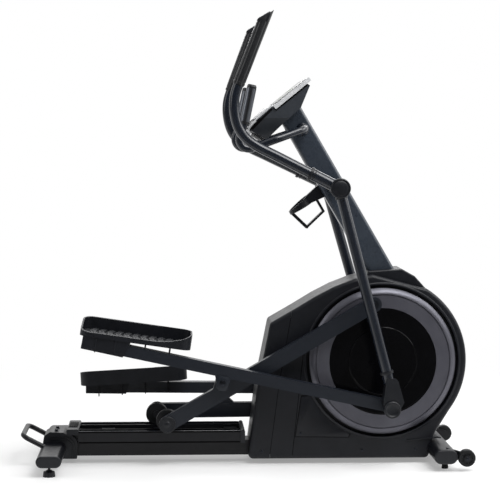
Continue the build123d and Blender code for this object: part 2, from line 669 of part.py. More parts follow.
idler_arm += slab(disc(idler, IDLER_SHAFT / 2), -BELT_OUT - 3, -BASE_HALF + 3)
save("base_frame", base_frame + idler_arm)

# Magnetic brake: a channel of magnets over the flywheel rim, on a bracket from the fork
brake_ring = disc(FLYWHEEL, FLYWHEEL_RADIUS + 12) - disc(FLYWHEEL, FLYWHEEL_RADIUS + 5)
cheek_ring = disc(FLYWHEEL, FLYWHEEL_RADIUS + 6) - disc(FLYWHEEL, FLYWHEEL_RADIUS - 24)
wedge_points = [FLYWHEEL]
for angle in (72, 96, 120, 144):
    turn = math.radians(angle)
    wedge_points.append((FLYWHEEL_X + 300 * math.cos(turn), FLYWHEEL_Z + 300 * math.sin(turn)))
wedge = polygon(*wedge_points)
brake = across(brake_ring & wedge, 32)
cheek = slab(cheek_ring & wedge, FLYWHEEL_HALF + 4, 32)
brake = brake + cheek + mirrored(cheek)
brake_leg = slab(bar_between(FLYWHEEL, (FLYWHEEL_X - 40, FLYWHEEL_Z + 136), 24), BASE_HALF, BASE_HALF + 4)
brake_leg -= drum(FLYWHEEL, 20, 0, 100)
brake_tab = slab(disc((FLYWHEEL_X - 36, FLYWHEEL_Z + 126), 12), 30, BASE_HALF + 4)
brake = brake + brake_leg + brake_tab
save("brake_unit", brake)

# Control board on the post
board_x = knee[0]
board = slab(polygon((board_x - 40, 150), (board_x + 40, 150), (board_x + 40, 290), (board_x - 40, 290)), 41, 43)
board += slab(polygon((board_x - 30, 240), (board_x + 8, 240), (board_x + 8, 275), (board_x - 30, 275)), 43, 60)
for x, z in ((-32, 160), (32, 160), (-32, 232), (32, 282)):
    board += drum((board_x + x, z), 4, MAST_WIDTH / 2, 41.5)
save("control_board", board)

# Everything that moves, one set for each side
BUSH_DIA = 20.0
PIN_DIA = 24.0
TRAY_REAR = -557.0
TRAY_FRONT = -137.0
TRAY_IN = 45.0
TRAY_OUT = 215.0
TRAY_FLOOR = 104.0
TRAY_WALL = 6.0
LIP = 18.0
WALL_TALL = 58.0
TOE_RISE = 34.0
ARM_ABOVE = 44.0
ARM_HEIGHT = 44.0
BASE_FLOOR = 3.0
tube_back = TRAY_REAR + 13
tube_rear = (tube_back, ARM_ABOVE * (1 - tube_back / PEDAL_ARM_REACH))
foot_local = (PEDAL_ARM_REACH, 0.0)


def roller_link_local():
    # Tube with its pivot lug, origin at the roller axle, X along the link
    height = 58.0
    shape = slab(Pos(LINK_LENGTH / 2, 0) * SlotCenterToCenter(LINK_LENGTH, height), LINK_IN, LINK_OUT)
    core = Pos(LINK_LENGTH / 2, 0) * Rectangle(LINK_LENGTH - 100, height - 2 * TUBE_WALL)
    shape -= slab(core, LINK_IN + TUBE_WALL, LINK_OUT - TUBE_WALL)
    lug = polygon(
        (PIVOT_ALONG - 46, height / 2 - 1),
        (PIVOT_ALONG + 46, height / 2 - 1),
        (PIVOT_ALONG + 22, PIVOT_ABOVE + 12),
        (PIVOT_ALONG - 22, PIVOT_ABOVE + 12),
    )
    shape += slab(lug + disc((PIVOT_ALONG, PIVOT_ABOVE), 25), LINK_IN + 4, LINK_OUT)
    return shape - drum((0, 0), BUSH_DIA / 2 + BORE_GAP, 0, 300)


def crank_pin_local():
    # Pin through the front end of the link, stopping just short of the crank boss
    tip = (LINK_LENGTH, 0)
    shape = drum(tip, PIN_DIA / 2, BOSS_FACE + RUN_GAP, LINK_OUT + 2)
    shape += drum(tip, 20, BOSS_FACE + RUN_GAP, LINK_IN)
    return shape + drum(tip, 17, LINK_OUT, LINK_OUT + 2)


def roller_axle_local():
    shape = drum((0, 0), BUSH_DIA / 2, ROLLER_Y - ROLLER_WIDTH / 2 - 6, LINK_OUT + 3)
    shape += drum((0, 0), 16, ROLLER_Y + ROLLER_WIDTH / 2 + RUN_GAP, LINK_IN - RUN_GAP)
    shape += drum((0, 0), 15, ROLLER_Y - ROLLER_WIDTH / 2 - 6, ROLLER_Y - ROLLER_WIDTH / 2 - RUN_GAP)
    cap = drum((0, 0), 32, LINK_OUT + RUN_GAP, LINK_OUT + 7)
    return shape + chamfer(cap.faces().sort_by(Axis.Y)[0].edges(), 2)


def roller_local():
    shape = drum((0, 0), ROLLER_RADIUS - RUN_GAP, ROLLER_Y - ROLLER_WIDTH / 2, ROLLER_Y + ROLLER_WIDTH / 2)
    shape = fillet(shape.edges().filter_by(GeomType.CIRCLE), 4)
    return shape - drum((0, 0), BUSH_DIA / 2 + BORE_GAP, 0, 200)


def pedal_arm_local():
    # Square tube with front eye and pivot hanger, origin at the pivot, X towards the front eye
    middle = (PEDAL_ARM_IN + PEDAL_ARM_OUT) / 2
    height = ARM_HEIGHT
    shape = slab(bar_between(tube_rear, foot_local, height), PEDAL_ARM_IN, PEDAL_ARM_OUT)
    core_end = (PEDAL_ARM_REACH - 40, ARM_ABOVE * 40 / PEDAL_ARM_REACH)
    core = bar_between(tube_rear, core_end, height - 2 * TUBE_WALL)
    shape -= slab(core, PEDAL_ARM_IN + TUBE_WALL, PEDAL_ARM_OUT - TUBE_WALL)
    shape += drum(foot_local, 29, PEDAL_ARM_IN, PEDAL_ARM_OUT)
    hanger = polygon((-34, 30), (34, 26), (18, -16), (-18, -16)) + disc((0, 0), 24)
    hanger -= bar_between(tube_rear, foot_local, height - 0.2)
    shape += slab(hanger, middle - 18, PEDAL_ARM_OUT)
    shape += drum((0, 0), 12, LINK_OUT + RUN_GAP, middle)
    shape += drum((0, 0), 20, LINK_OUT + RUN_GAP, PEDAL_ARM_IN)
    shape += drum((0, 0), 15, PEDAL_ARM_OUT, PEDAL_ARM_OUT + 7)
    return shape - drum(foot_local, BUSH_DIA / 2 + BORE_GAP, 0, 400)


def pedal_local():
    # Tray, tall on the inboard side, on a base that wraps the end of the arm and two struts ahead of it
    middle = (TRAY_IN + TRAY_OUT) / 2
    length, width = TRAY_FRONT - TRAY_REAR, TRAY_OUT - TRAY_IN
    plan = Pos((TRAY_REAR + TRAY_FRONT) / 2, -middle) * RectangleRounded(length, width, 40)
    well = offset(plan, -TRAY_WALL)
    tray = Pos(0, 0, TRAY_FLOOR) * extrude(plan, WALL_TALL)
    tray -= Pos(0, 0, TRAY_FLOOR + TRAY_WALL) * extrude(well, WALL_TALL)
    rim_top = TRAY_FLOOR + WALL_TALL
    rim_line = polygon(
        (TRAY_REAR - 10, rim_top),
        (TRAY_FRONT - 130, rim_top),
        (TRAY_FRONT - 80, rim_top + 0.2 * TOE_RISE),
        (TRAY_FRONT - 40, rim_top + 0.55 * TOE_RISE),
        (TRAY_FRONT, rim_top + TOE_RISE),
        (TRAY_FRONT + 10, rim_top + 120),
        (TRAY_REAR - 10, rim_top + 120),
    )
    tray -= extrude(Plane.XZ.offset(TRAY_IN) * rim_line, width + 10, dir=(0, -width, LIP - WALL_TALL))
    tube_low = tube_rear[1] - ARM_HEIGHT / 2 - BASE_FLOOR
    base_outline = polygon(
        (TRAY_REAR + 14, TRAY_FLOOR),
        (TRAY_REAR + 12, tube_low),
        (TRAY_REAR + 172, tube_low - 172 * ARM_ABOVE / PEDAL_ARM_REACH),
        (TRAY_REAR + 194, TRAY_FLOOR),
    )
    base = slab(base_outline, PEDAL_ARM_IN - 6, TRAY_OUT - 4)
    for x in (TRAY_FRONT - 170, TRAY_FRONT - 77):
        tube_middle = ARM_ABOVE * (1 - x / PEDAL_ARM_REACH)
        strut = polygon((x - 3, tube_middle), (x + 3, tube_middle), (x + 3, TRAY_FLOOR), (x - 3, TRAY_FLOOR))
        base += slab(strut, PEDAL_ARM_IN, PEDAL_ARM_OUT)
    tube = slab(bar_between(tube_rear, foot_local, ARM_HEIGHT), PEDAL_ARM_IN, PEDAL_ARM_OUT)
    return tray + base - tube


# Swing arm drawn where the right one rests, then turned about the shaft for the other side
TUBE_SLOPE = 14.68
foot = RIGHT["foot"]
tube_turn = math.radians(TUBE_SLOPE)
TUBE_END = ARM_REACH - 59.0
tube_foot = (ARM_PIVOT_X + TUBE_END * math.sin(tube_turn), ARM_PIVOT_Z - TUBE_END * math.cos(tube_turn))
RISE_ANGLE = 26.9
SLEEVE_LENGTH = 122.0
rise_turn = math.radians(RISE_ANGLE)


def rise_point(along):
    return (ARM_PIVOT_X - along * math.cos(rise_turn), -ARM_Y, ARM_PIVOT_Z + along * math.sin(rise_turn))


arm_line = Line((ARM_PIVOT_X, -ARM_Y, ARM_PIVOT_Z), (tube_foot[0], -ARM_Y, tube_foot[1]))
rise_line = Line(rise_point(0), rise_point(SLEEVE_LENGTH))
upper_line = Line(rise_point(SLEEVE_LENGTH - 70), rise_point(270))
bend_line = Spline(
    rise_point(270),
    (38, -ARM_Y, 1222),
    (-25, -ARM_Y, 1276),
    (-46, -ARM_Y, 1332),
    (-49, -ARM_Y, 1398),
    (-35, -ARM_Y, 1451),
    tangents=[(-math.cos(rise_turn), 0, math.sin(rise_turn)), (103, 0, 263)],
)
GRIP_START = (-35.0, 1451.0)
GRIP_END = (66.0, 1709.0)
TIP_Z = 1722.0
grip_turn = math.degrees(math.atan2(GRIP_END[0] - GRIP_START[0], GRIP_END[1] - GRIP_START[1]))
grip_frame = Pos(GRIP_START[0], -ARM_Y, GRIP_START[1]) * Rot(0, grip_turn, 0)
GRIP_LENGTH = math.dist(GRIP_START, GRIP_END) + 30


def swing_arm_rest():
    # Hub, lower tube with the foot axle and the socket for the upper arm
    hub = drum(ARM_PIVOT, 31, HUB_IN, HUB_OUT)
    tube = rod(arm_line, ARM_TUBE / 2) - rod(arm_line, ARM_TUBE / 2 - TUBE_WALL)
    socket = rod(rise_line, ARM_TUBE / 2 + 3)
    hollow = rod(Line(rise_point(36), rise_point(SLEEVE_LENGTH + 10)), ARM_TUBE / 2 - 1 + BORE_GAP)
    web = polygon(
        (tube_foot[0] - 20, tube_foot[1] + 46),
        (tube_foot[0] + 16, tube_foot[1] + 36),
        (foot[0] + 26, foot[1] + 4),
        (foot[0] - 26, foot[1] + 10),
    )
    solid_foot = slab(web + disc(foot, 28), ARM_Y - 16, ARM_Y + 16)
    boss = drum(foot, 24, PEDAL_ARM_OUT + 2, ARM_Y)
    axle_stub = drum(foot, BUSH_DIA / 2, PEDAL_ARM_IN - 1, ARM_Y)
    retainer = drum(foot, 15, PEDAL_ARM_IN - 5, PEDAL_ARM_IN - RUN_GAP)
    shape = hub + tube + socket - hollow + solid_foot + boss + axle_stub + retainer
    return shape - drum(ARM_PIVOT, SHAFT_DIA / 2 + BORE_GAP, 0, 400)


def upper_arm_rest():
    radius = ARM_TUBE / 2 - 1
    grip_core = grip_frame * Pos(0, 0, (GRIP_LENGTH - 46) / 2) * Cylinder(radius, GRIP_LENGTH - 46)
    bore = radius - TUBE_WALL
    grip_bore = grip_frame * Pos(0, 0, (GRIP_LENGTH - 46) / 2) * Cylinder(bore, GRIP_LENGTH - 46)
    shape = rod(upper_line, radius) + rod(bend_line, radius) + grip_core
    return shape - rod(upper_line, bore) - rod(bend_line, bore) - grip_bore


def grip_rest():
    # Hand grip with a slanting top
    shape = grip_frame * Pos(0, 0, GRIP_LENGTH / 2) * Cylinder(GRIP_DIA / 2, GRIP_LENGTH)
    core = grip_frame * Pos(0, 0, (GRIP_LENGTH - 46) / 2 - 5) * Cylinder(ARM_TUBE / 2 - 1, GRIP_LENGTH - 46 + 10)
    slant = polygon((20, 1684), (83, TIP_Z), (160, TIP_Z), (160, 1800), (-40, 1800))
    return shape - core - slab(slant, ARM_Y - 60, ARM_Y + 60)


def arm_covers_rest():
    # Hub cap, boot over the lower end of the tube and round cap on the foot axle
    hub_cap = drum(ARM_PIVOT, 38, HUB_OUT, HUB_OUT + 10)
    hub_cap = fillet(hub_cap.faces().sort_by(Axis.Y)[0].edges(), 5)
    corners = [(-22, 121), (22, 109), (45, 27), (26, -9), (-24, -9), (-34, 21)]
    boot_points = polygon(*[(foot[0] + x, foot[1] + z) for x, z in corners])
    cover = slab(fillet(boot_points.vertices(), 6), ARM_Y - 24, ARM_Y + 24)
    cover -= rod(arm_line, ARM_TUBE / 2) + slab(disc(foot, 28.2), ARM_Y - 30, ARM_Y + 16)
    return hub_cap, cover


for name, pose in SIDES.items():
    side = (lambda shape: shape) if name == "right" else mirrored
    turn = pose["arm_swing"] - RIGHT["arm_swing"]
    hinge = Axis((ARM_PIVOT_X, 0, ARM_PIVOT_Z), (0, -1, 0))
    arm, ring_disc, centre_disc = crank_side(pose)
    save(f"{name}_crank_arm", side(arm))
    save(f"{name}_disc_ring", side(ring_disc))
    save(f"{name}_disc_centre", side(centre_disc))
    link = roller_link_local() - crank_pin_local()
    save(f"{name}_roller_link", side(placed(pose["roller"], pose["link_pitch"], link)))
    save(f"{name}_crank_pin", side(placed(pose["roller"], pose["link_pitch"], crank_pin_local())))
    save(f"{name}_roller_axle", side(placed(pose["roller"], 0, roller_axle_local())))
    save(f"{name}_roller", side(placed(pose["roller"], 0, roller_local())))
    for piece, local in (("pedal_arm", pedal_arm_local), ("pedal", pedal_local)):
        save(f"{name}_{piece}", side(placed(pose["pivot"], pose["pedal_pitch"], local())))
    lower = swing_arm_rest()
    cap, cover = arm_covers_rest()
    save(f"{name}_swing_arm", side(lower.rotate(hinge, turn)))
    save(f"{name}_upper_arm", side((upper_arm_rest() - lower).rotate(hinge, turn)))
    save(f"{name}_grip", side((grip_rest()).rotate(hinge, turn)))
    covers = [cap.rotate(hinge, turn), (cover - lower).rotate(hinge, turn)]
    save(f"{name}_arm_covers", Compound(children=[side(item) for item in covers]))
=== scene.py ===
# %% [markdown]
# Elliptical trainer, dressed for a studio picture.
# The solids arrive as a fixed frame, in metres, with X forward, Y to the machine's left and Z up.
# Everything below adds finishes and small pieces to that frame and never moves a solid.

# %% Load the frame
import math
import bpy
import bmesh
from mathutils import Matrix, Vector


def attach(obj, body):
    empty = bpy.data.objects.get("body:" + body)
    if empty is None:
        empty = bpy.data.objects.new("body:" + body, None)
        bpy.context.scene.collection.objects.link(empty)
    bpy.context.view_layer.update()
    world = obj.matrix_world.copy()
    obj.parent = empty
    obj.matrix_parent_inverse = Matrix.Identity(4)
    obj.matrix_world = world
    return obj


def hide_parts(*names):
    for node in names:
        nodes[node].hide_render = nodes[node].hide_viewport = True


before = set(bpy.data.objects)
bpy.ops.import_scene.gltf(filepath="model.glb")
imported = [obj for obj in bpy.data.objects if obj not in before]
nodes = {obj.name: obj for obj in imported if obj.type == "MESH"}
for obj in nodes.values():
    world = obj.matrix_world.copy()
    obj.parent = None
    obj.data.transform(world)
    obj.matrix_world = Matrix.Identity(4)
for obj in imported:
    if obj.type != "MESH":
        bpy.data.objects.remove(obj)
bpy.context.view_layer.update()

# %% [markdown]
# The picture is taken from the machine's right side with a long lens from about five and a half metres.
# A long lens keeps the near and the far arm almost the same size, which a short lens would not.
# A small lens shift takes out a little of the keystone that aiming down at the machine would give.

# %% Camera
CAMERA_SPOT = Vector((-0.2845, -5.5762, 1.2431))
CAMERA_YAW = 0.0341
CAMERA_PITCH = -0.0478
FOCAL_LENGTH = 103.69
SENSOR_WIDTH = 36.0
LENS_SHIFT = (0.06, -0.08)
lens = bpy.data.cameras.new("side_camera")
lens.lens = FOCAL_LENGTH
lens.sensor_width = SENSOR_WIDTH
lens.shift_x = LENS_SHIFT[0]
lens.shift_y = LENS_SHIFT[1]
camera = bpy.data.objects.new("side_camera", lens)
camera.location = CAMERA_SPOT
camera.rotation_euler = (math.pi / 2 + CAMERA_PITCH, 0.0, -CAMERA_YAW)
bpy.context.scene.collection.objects.link(camera)
bpy.context.scene.camera = camera
bpy.context.scene.view_settings.view_transform = "Standard"
print("camera at", tuple(CAMERA_SPOT))

# %% [markdown]
# The room, the floor and every finish are small trees of shader nodes.
# Three kinds of node come back often: one joins two values, one changes a range and one mixes two shaders.
# A helper for each makes the node, links it and hands back its output, which keeps the trees short to read.


# %% Helpers for node trees
def maths(tree, operation, first, second):
    """Two values joined by an operation."""
    node = tree.nodes.new("ShaderNodeMath")
    node.operation = operation
    tree.links.new(first, node.inputs[0])
    tree.links.new(second, node.inputs[1])
    return node.outputs[0]


def ranged(tree, value, source, target, kind="LINEAR"):
    """A value taken from one range to another."""
    node = tree.nodes.new("ShaderNodeMapRange")
    node.interpolation_type = kind
    node.inputs["From Min"].default_value = source[0]
    node.inputs["From Max"].default_value = source[1]
    node.inputs["To Min"].default_value = target[0]
    node.inputs["To Max"].default_value = target[1]
    tree.links.new(value, node.inputs["Value"])
    return node.outputs["Result"]


def mixed(tree, share, first, second):
    """Two shaders mixed by a share of the second."""
    node = tree.nodes.new("ShaderNodeMixShader")
    tree.links.new(share, node.inputs["Fac"])
    tree.links.new(first, node.inputs[1])
    tree.links.new(second, node.inputs[2])
    return node.outputs[0]


print("node helpers ready")

# %% [markdown]
# The room is a white sweep with large soft lamps.
# The sweep looks white to the camera because the world answers camera rays with a strength of one,
# while the light it gives to the machine stays at a plain level, so dark plastics stay dark.
# Glossy rays see the white sweep behind, above and to the right, and a dim room on the photographer's side,
# which gives round tubes a dark middle and a light upper edge.

# %% Room and lamps
ROOM_LIGHT = 0.36
DIM_SIDE = 0.05
BRIGHT_SIDE = (0.45, 0.7, 0.55)
SWEEP_RANGE = (-0.5, 0.75)
WHITE = (1.0, 1.0, 1.0, 1.0)
room = bpy.data.worlds.new("studio_room")
room.use_nodes = True
bpy.context.scene.world = room
tree = room.node_tree
tree.nodes.clear()
rays = tree.nodes.new("ShaderNodeLightPath")
seen = maths(tree, "MAXIMUM", rays.outputs["Is Camera Ray"], rays.outputs["Is Transmission Ray"])
heading = tree.nodes.new("ShaderNodeTexCoord")
toward = tree.nodes.new("ShaderNodeVectorMath")
toward.operation = "DOT_PRODUCT"
toward.inputs[1].default_value = BRIGHT_SIDE
tree.links.new(heading.outputs["Generated"], toward.inputs[0])
sweep = ranged(tree, toward.outputs["Value"], SWEEP_RANGE, (DIM_SIDE, 1.0), "SMOOTHSTEP")
mirror = tree.nodes.new("ShaderNodeMix")
mirror.inputs[2].default_value = ROOM_LIGHT
tree.links.new(rays.outputs["Is Glossy Ray"], mirror.inputs[0])
tree.links.new(sweep, mirror.inputs[3])
level = maths(tree, "MAXIMUM", seen, mirror.outputs[0])
sky = tree.nodes.new("ShaderNodeBackground")
sky.inputs["Color"].default_value = WHITE
tree.links.new(level, sky.inputs["Strength"])
world_out = tree.nodes.new("ShaderNodeOutputWorld")
tree.links.new(sky.outputs[0], world_out.inputs["Surface"])


def soft_lamp(name, spot, aim, width, height, power):
    lamp = bpy.data.lights.new(name, "AREA")
    lamp.shape = "RECTANGLE"
    lamp.size = width
    lamp.size_y = height
    lamp.energy = power
    holder = bpy.data.objects.new(name, lamp)
    holder.location = spot
    holder.rotation_euler = (Vector(aim) - Vector(spot)).to_track_quat("-Z", "Y").to_euler()
    bpy.context.scene.collection.objects.link(holder)


soft_lamp("top_softbox", (0.2, 0.0, 4.2), (0.1, 0.0, 0.6), 3.6, 2.6, 30.0)
soft_lamp("left_softbox", (-3.8, -1.0, 2.6), (0.0, 0.0, 0.8), 2.0, 2.6, 30.0)
soft_lamp("right_softbox", (3.8, -0.8, 2.8), (0.3, 0.0, 0.7), 2.0, 2.6, 45.0)
soft_lamp("back_strip", (0.4, 3.8, 3.0), (0.1, 0.0, 0.9), 3.4, 1.4, 60.0)
soft_lamp("front_top_softbox", (1.6, -2.2, 4.3), (0.2, 0.0, 1.2), 3.2, 2.0, 150.0)
soft_lamp("key_strip", (3.35, 0.84, 3.25), (0.5, 0.0, 0.6), 2.1, 1.0, 28.0)
print("lamps:", len(bpy.data.lights))

# %% [markdown]
# The floor keeps a soft shadow near the machine and fades to the room's white further out.
# A grey floor against a bright background would show a horizon, so the fade mixes it with plain white.
# In reflections the floor in front is dim, like a dark flag laid there: flat faces would mirror it as grey.

# %% Floor
FLOOR_HALF = 30.0
FLOOR_TONE = (0.94, 0.94, 0.94, 1.0)
FADE_RANGE = (0.9, 2.6)
FADE_SHARE = (0.3, 1.0)
FLAG_RANGE = (-0.6, -1.6)
DIM_FLOOR = 0.2
bm = bmesh.new()
bmesh.ops.create_grid(bm, x_segments=2, y_segments=2, size=FLOOR_HALF)
floor_mesh = bpy.data.meshes.new("studio_floor")
bm.to_mesh(floor_mesh)
bm.free()
studio_floor = bpy.data.objects.new("studio_floor", floor_mesh)
bpy.context.scene.collection.objects.link(studio_floor)
pale = bpy.data.materials.new("pale_sweep")
pale.use_nodes = True
tree = pale.node_tree
tree.nodes.clear()
matt = tree.nodes.new("ShaderNodeBsdfDiffuse")
matt.inputs["Color"].default_value = FLOOR_TONE
white = tree.nodes.new("ShaderNodeEmission")
white.inputs["Color"].default_value = WHITE
dim = tree.nodes.new("ShaderNodeEmission")
dim.inputs["Strength"].default_value = DIM_FLOOR
where = tree.nodes.new("ShaderNodeTexCoord")
far = tree.nodes.new("ShaderNodeVectorMath")
far.operation = "LENGTH"
tree.links.new(where.outputs["Object"], far.inputs[0])
fade = ranged(tree, far.outputs["Value"], FADE_RANGE, FADE_SHARE)
place = tree.nodes.new("ShaderNodeSeparateXYZ")
tree.links.new(where.outputs["Object"], place.inputs[0])
flagged = ranged(tree, place.outputs["Y"], FLAG_RANGE, (0.0, 1.0))
rays = tree.nodes.new("ShaderNodeLightPath")
glossy = rays.outputs["Is Glossy Ray"]
direct = maths(tree, "MAXIMUM", rays.outputs["Is Camera Ray"], rays.outputs["Is Transmission Ray"])
share = maths(tree, "MULTIPLY", fade, maths(tree, "MAXIMUM", direct, glossy))
faded = mixed(tree, share, matt.outputs[0], white.outputs[0])
ground = mixed(tree, maths(tree, "MULTIPLY", glossy, flagged), faded, dim.outputs[0])
floor_out = tree.nodes.new("ShaderNodeOutputMaterial")
tree.links.new(ground, floor_out.inputs["Surface"])
floor_mesh.materials.append(pale)
print("floor ready")

# %% [markdown]
# Every finish starts the same way: one surface shader and the solid's own coordinates in metres.
# Colour, gloss and relief each get their own small pattern,
# because a real moulding or painted tube is never one flat value.


# %% Helpers for finishes
PATTERN_RANGE = (0.3, 0.7)
RELIEF_STRENGTH = 0.6
MOULD_TONE = 0.06
MOULD_GLOSS = 0.025
MOULD_WEAR = 0.25
FINE_DETAIL = 2.0


def shade(red, green, blue):
    """Colour written as it should look on screen, turned into light values."""
    parts = [c / 255 for c in (red, green, blue)]
    return [((p + 0.055) / 1.055) ** 2.4 if p > 0.04 else p / 12.92 for p in parts] + [1.0]


def new_finish(name, metal=0.0, gloss=0.5):
    look = bpy.data.materials.new(name)
    look.use_nodes = True
    tree = look.node_tree
    tree.nodes.clear()
    out = tree.nodes.new("ShaderNodeOutputMaterial")
    skin = tree.nodes.new("ShaderNodeBsdfPrincipled")
    skin.inputs["Metallic"].default_value = metal
    skin.inputs["Specular IOR Level"].default_value = gloss
    tree.links.new(skin.outputs["BSDF"], out.inputs["Surface"])
    where = tree.nodes.new("ShaderNodeTexCoord")
    return look, tree, skin, where.outputs["Object"]


def speckle(tree, spot, size, detail=3.0):
    cloud = tree.nodes.new("ShaderNodeTexNoise")
    cloud.inputs["Scale"].default_value = 1.0 / size
    cloud.inputs["Detail"].default_value = detail
    tree.links.new(spot, cloud.inputs["Vector"])
    return cloud.outputs["Fac"]


def tint(tree, skin, pattern, dark, light):
    ramp = tree.nodes.new("ShaderNodeValToRGB")
    for stop, position, colour in zip(ramp.color_ramp.elements, PATTERN_RANGE, (dark, light)):
        stop.position = position
        stop.color = shade(*colour)
    tree.links.new(pattern, ramp.inputs["Fac"])
    tree.links.new(ramp.outputs["Color"], skin.inputs["Base Color"])


def dull(tree, skin, pattern, low, high):
    tree.links.new(ranged(tree, pattern, PATTERN_RANGE, (low, high)), skin.inputs["Roughness"])


def relief(tree, skin, pattern, height):
    bump = tree.nodes.new("ShaderNodeBump")
    bump.inputs["Distance"].default_value = height
    bump.inputs["Strength"].default_value = RELIEF_STRENGTH
    tree.links.new(pattern, bump.inputs["Height"])
    tree.links.new(bump.outputs["Normal"], skin.inputs["Normal"])


def moulded(name, dark, light, low, high, grain=0.0009, height=0.00012, gloss=0.4, metal=0.0):
    look, tree, skin, spot = new_finish(name, metal, gloss)
    tint(tree, skin, speckle(tree, spot, MOULD_TONE), dark, light)
    dull(tree, skin, speckle(tree, spot, MOULD_GLOSS), low, high)
    relief(tree, skin, speckle(tree, spot, grain, FINE_DETAIL), height * MOULD_WEAR)
    return look


print("finish helpers ready")

# %% [markdown]
# Painted steel is the main finish: a powder coat in a blue-grey charcoal, glossier on the round tubes
# than on the flat-sided arms. The mast's paint is a lighter copy of the same charcoal, painted light for its
# lit flat face.
# Powder coat has a fine orange-peel surface, so all four paints share one recipe: a faint relief and a slow
# drift of tone.


# %% Painted steel
PAINT_TONE = 0.09
PAINT_GLOSS = 0.02
ORANGE_PEEL = 0.0016
PEEL_HEIGHT = 0.000008


def painted(name, dark, light, low, high, gloss):
    look, tree, skin, spot = new_finish(name, 0.0, gloss)
    tint(tree, skin, speckle(tree, spot, PAINT_TONE), dark, light)
    dull(tree, skin, speckle(tree, spot, PAINT_GLOSS), low, high)
    relief(tree, skin, speckle(tree, spot, ORANGE_PEEL, FINE_DETAIL), PEEL_HEIGHT)
    return look


charcoal_paint = painted("charcoal_paint", (17, 22, 31), (20, 25, 34), 0.2, 0.25, 0.6)
arm_paint = painted("arm_paint", (17, 22, 31), (20, 25, 34), 0.42, 0.48, 0.38)
black_paint = painted("black_paint", (9, 10, 15), (13, 14, 19), 0.34, 0.42, 0.3)
# The mast uses the same charcoal steel painted lighter: painted light for the lit flat face of the mast.
mast_paint_painted_light = painted("mast_paint_painted_light", (40, 46, 55), (47, 54, 63), 0.24, 0.34, 0.5)
print("painted steel:", charcoal_paint.name, arm_paint.name, black_paint.name, mast_paint_painted_light.name)

# %% [markdown]
# The housing, pedals and covers are moulded plastics with a spark-eroded grain.
# They share the moulded recipe and differ only in tone, gloss and the size of the grain.

# %% Moulded plastics and rubbers
housing_plastic = moulded("housing_plastic", (13, 15, 21), (17, 19, 25), 0.4, 0.48, 0.0011, 0.00006, 0.3)
pedal_plastic = moulded("pedal_plastic", (15, 17, 22), (20, 22, 28), 0.42, 0.54, 0.0013, 0.0002, 0.25)
trim_plastic = moulded("trim_plastic", (15, 17, 22), (21, 23, 28), 0.36, 0.46, 0.001, 0.00008, 0.34)
console_plastic = moulded("console_plastic", (38, 42, 48), (45, 49, 55), 0.38, 0.48, 0.001, 0.00012, 0.42)
silver_plastic = moulded("silver_plastic", (180, 181, 183), (194, 195, 197), 0.36, 0.44, 0.0008, 0.00001, 0.4)
grey_cover = moulded("grey_cover", (112, 113, 115), (130, 131, 133), 0.42, 0.56, 0.0012, 0.0002, 0.35)
grip_rubber = moulded("grip_rubber", (18, 19, 22), (24, 25, 28), 0.32, 0.42, 0.0022, 0.0001, 0.6)
tread_rubber = moulded("tread_rubber", (34, 35, 38), (46, 47, 50), 0.55, 0.72, 0.0016, 0.0003, 0.25)
foot_rubber = moulded("foot_rubber", (13, 13, 15), (19, 19, 21), 0.6, 0.8, 0.0014, 0.0003, 0.2)
roller_plastic = moulded("roller_plastic", (18, 19, 21), (26, 27, 29), 0.4, 0.55, 0.002, 0.0002, 0.25)
pulley_plastic = moulded("pulley_plastic", (34, 34, 36), (44, 44, 46), 0.45, 0.55)
ring_satin = moulded("ring_satin", (72, 72, 80), (79, 79, 87), 0.3, 0.38, 0.0012, 0.00006, 0.5, 0.3)
gloss_black = moulded("gloss_black", (4, 4, 5), (6, 6, 8), 0.08, 0.14, 0.05, 0.0001, 0.12)
# Near-black for real seams and panel lines, and also for dark strips that stand for shade: painted shadow.
seam_and_shadow_dark = moulded("seam_and_shadow_dark", (4, 4, 5), (7, 7, 8), 0.6, 0.8, gloss=0.06)
lit_digit = moulded("lit_digit", (196, 206, 190), (214, 222, 208), 0.4, 0.5, gloss=0.3)
# The rim is a lighter, more metallic copy of the ring's satin laid on the ring's own bevel: a painted
# highlight.
rim_satin_painted_highlight = moulded("rim_satin_painted_highlight", (84, 84, 92), (91, 91, 99), 0.32, 0.38, 0.0012, 0.00002, 0.5, 0.55)
print("finishes so far:", len(bpy.data.materials))

# %% [markdown]
# Metals: a zinc-plated axle and bearings, dark bolts, a turned flywheel and the steel of the pulse contacts.
# A turned or brushed face is a stretched noise, because the tool leaves long fine lines in one direction.


# %% Metals and the board
BRUSH_SIZE = 0.01
BRUSH_HEIGHT = 0.00003


def brushed(name, dark, light, low, high, stretch):
    look, tree, skin, spot = new_finish(name, 1.0, 0.5)
    turn = tree.nodes.new("ShaderNodeMapping")
    turn.inputs["Scale"].default_value = stretch
    tree.links.new(spot, turn.inputs["Vector"])
    lines = speckle(tree, turn.outputs["Vector"], BRUSH_SIZE)
    tint(tree, skin, lines, dark, light)
    dull(tree, skin, lines, low, high)
    relief(tree, skin, lines, BRUSH_HEIGHT)
    return look


zinc_steel = brushed("zinc_steel", (168, 169, 173), (194, 195, 199), 0.24, 0.38, (3.0, 40.0, 3.0))
dark_bolt = brushed("dark_bolt", (40, 42, 47), (56, 58, 63), 0.3, 0.45, (20.0, 20.0, 20.0))
pulse_steel = brushed("pulse_steel", (104, 107, 113), (122, 125, 131), 0.3, 0.42, (40.0, 40.0, 3.0))
turned_iron = brushed("turned_iron", (96, 97, 100), (124, 125, 128), 0.3, 0.5, (1.0, 30.0, 1.0))
board_green = moulded("board_green", (18, 62, 40), (26, 80, 52), 0.3, 0.5, 0.003, 0.0002)
print("metals and board ready")

# %% [markdown]
# Each solid takes the finish of the real part: painted steel for the linkage, moulded plastic for covers
# and rubber where it grips. Names that end the same way share one rule, so the two sides always match.

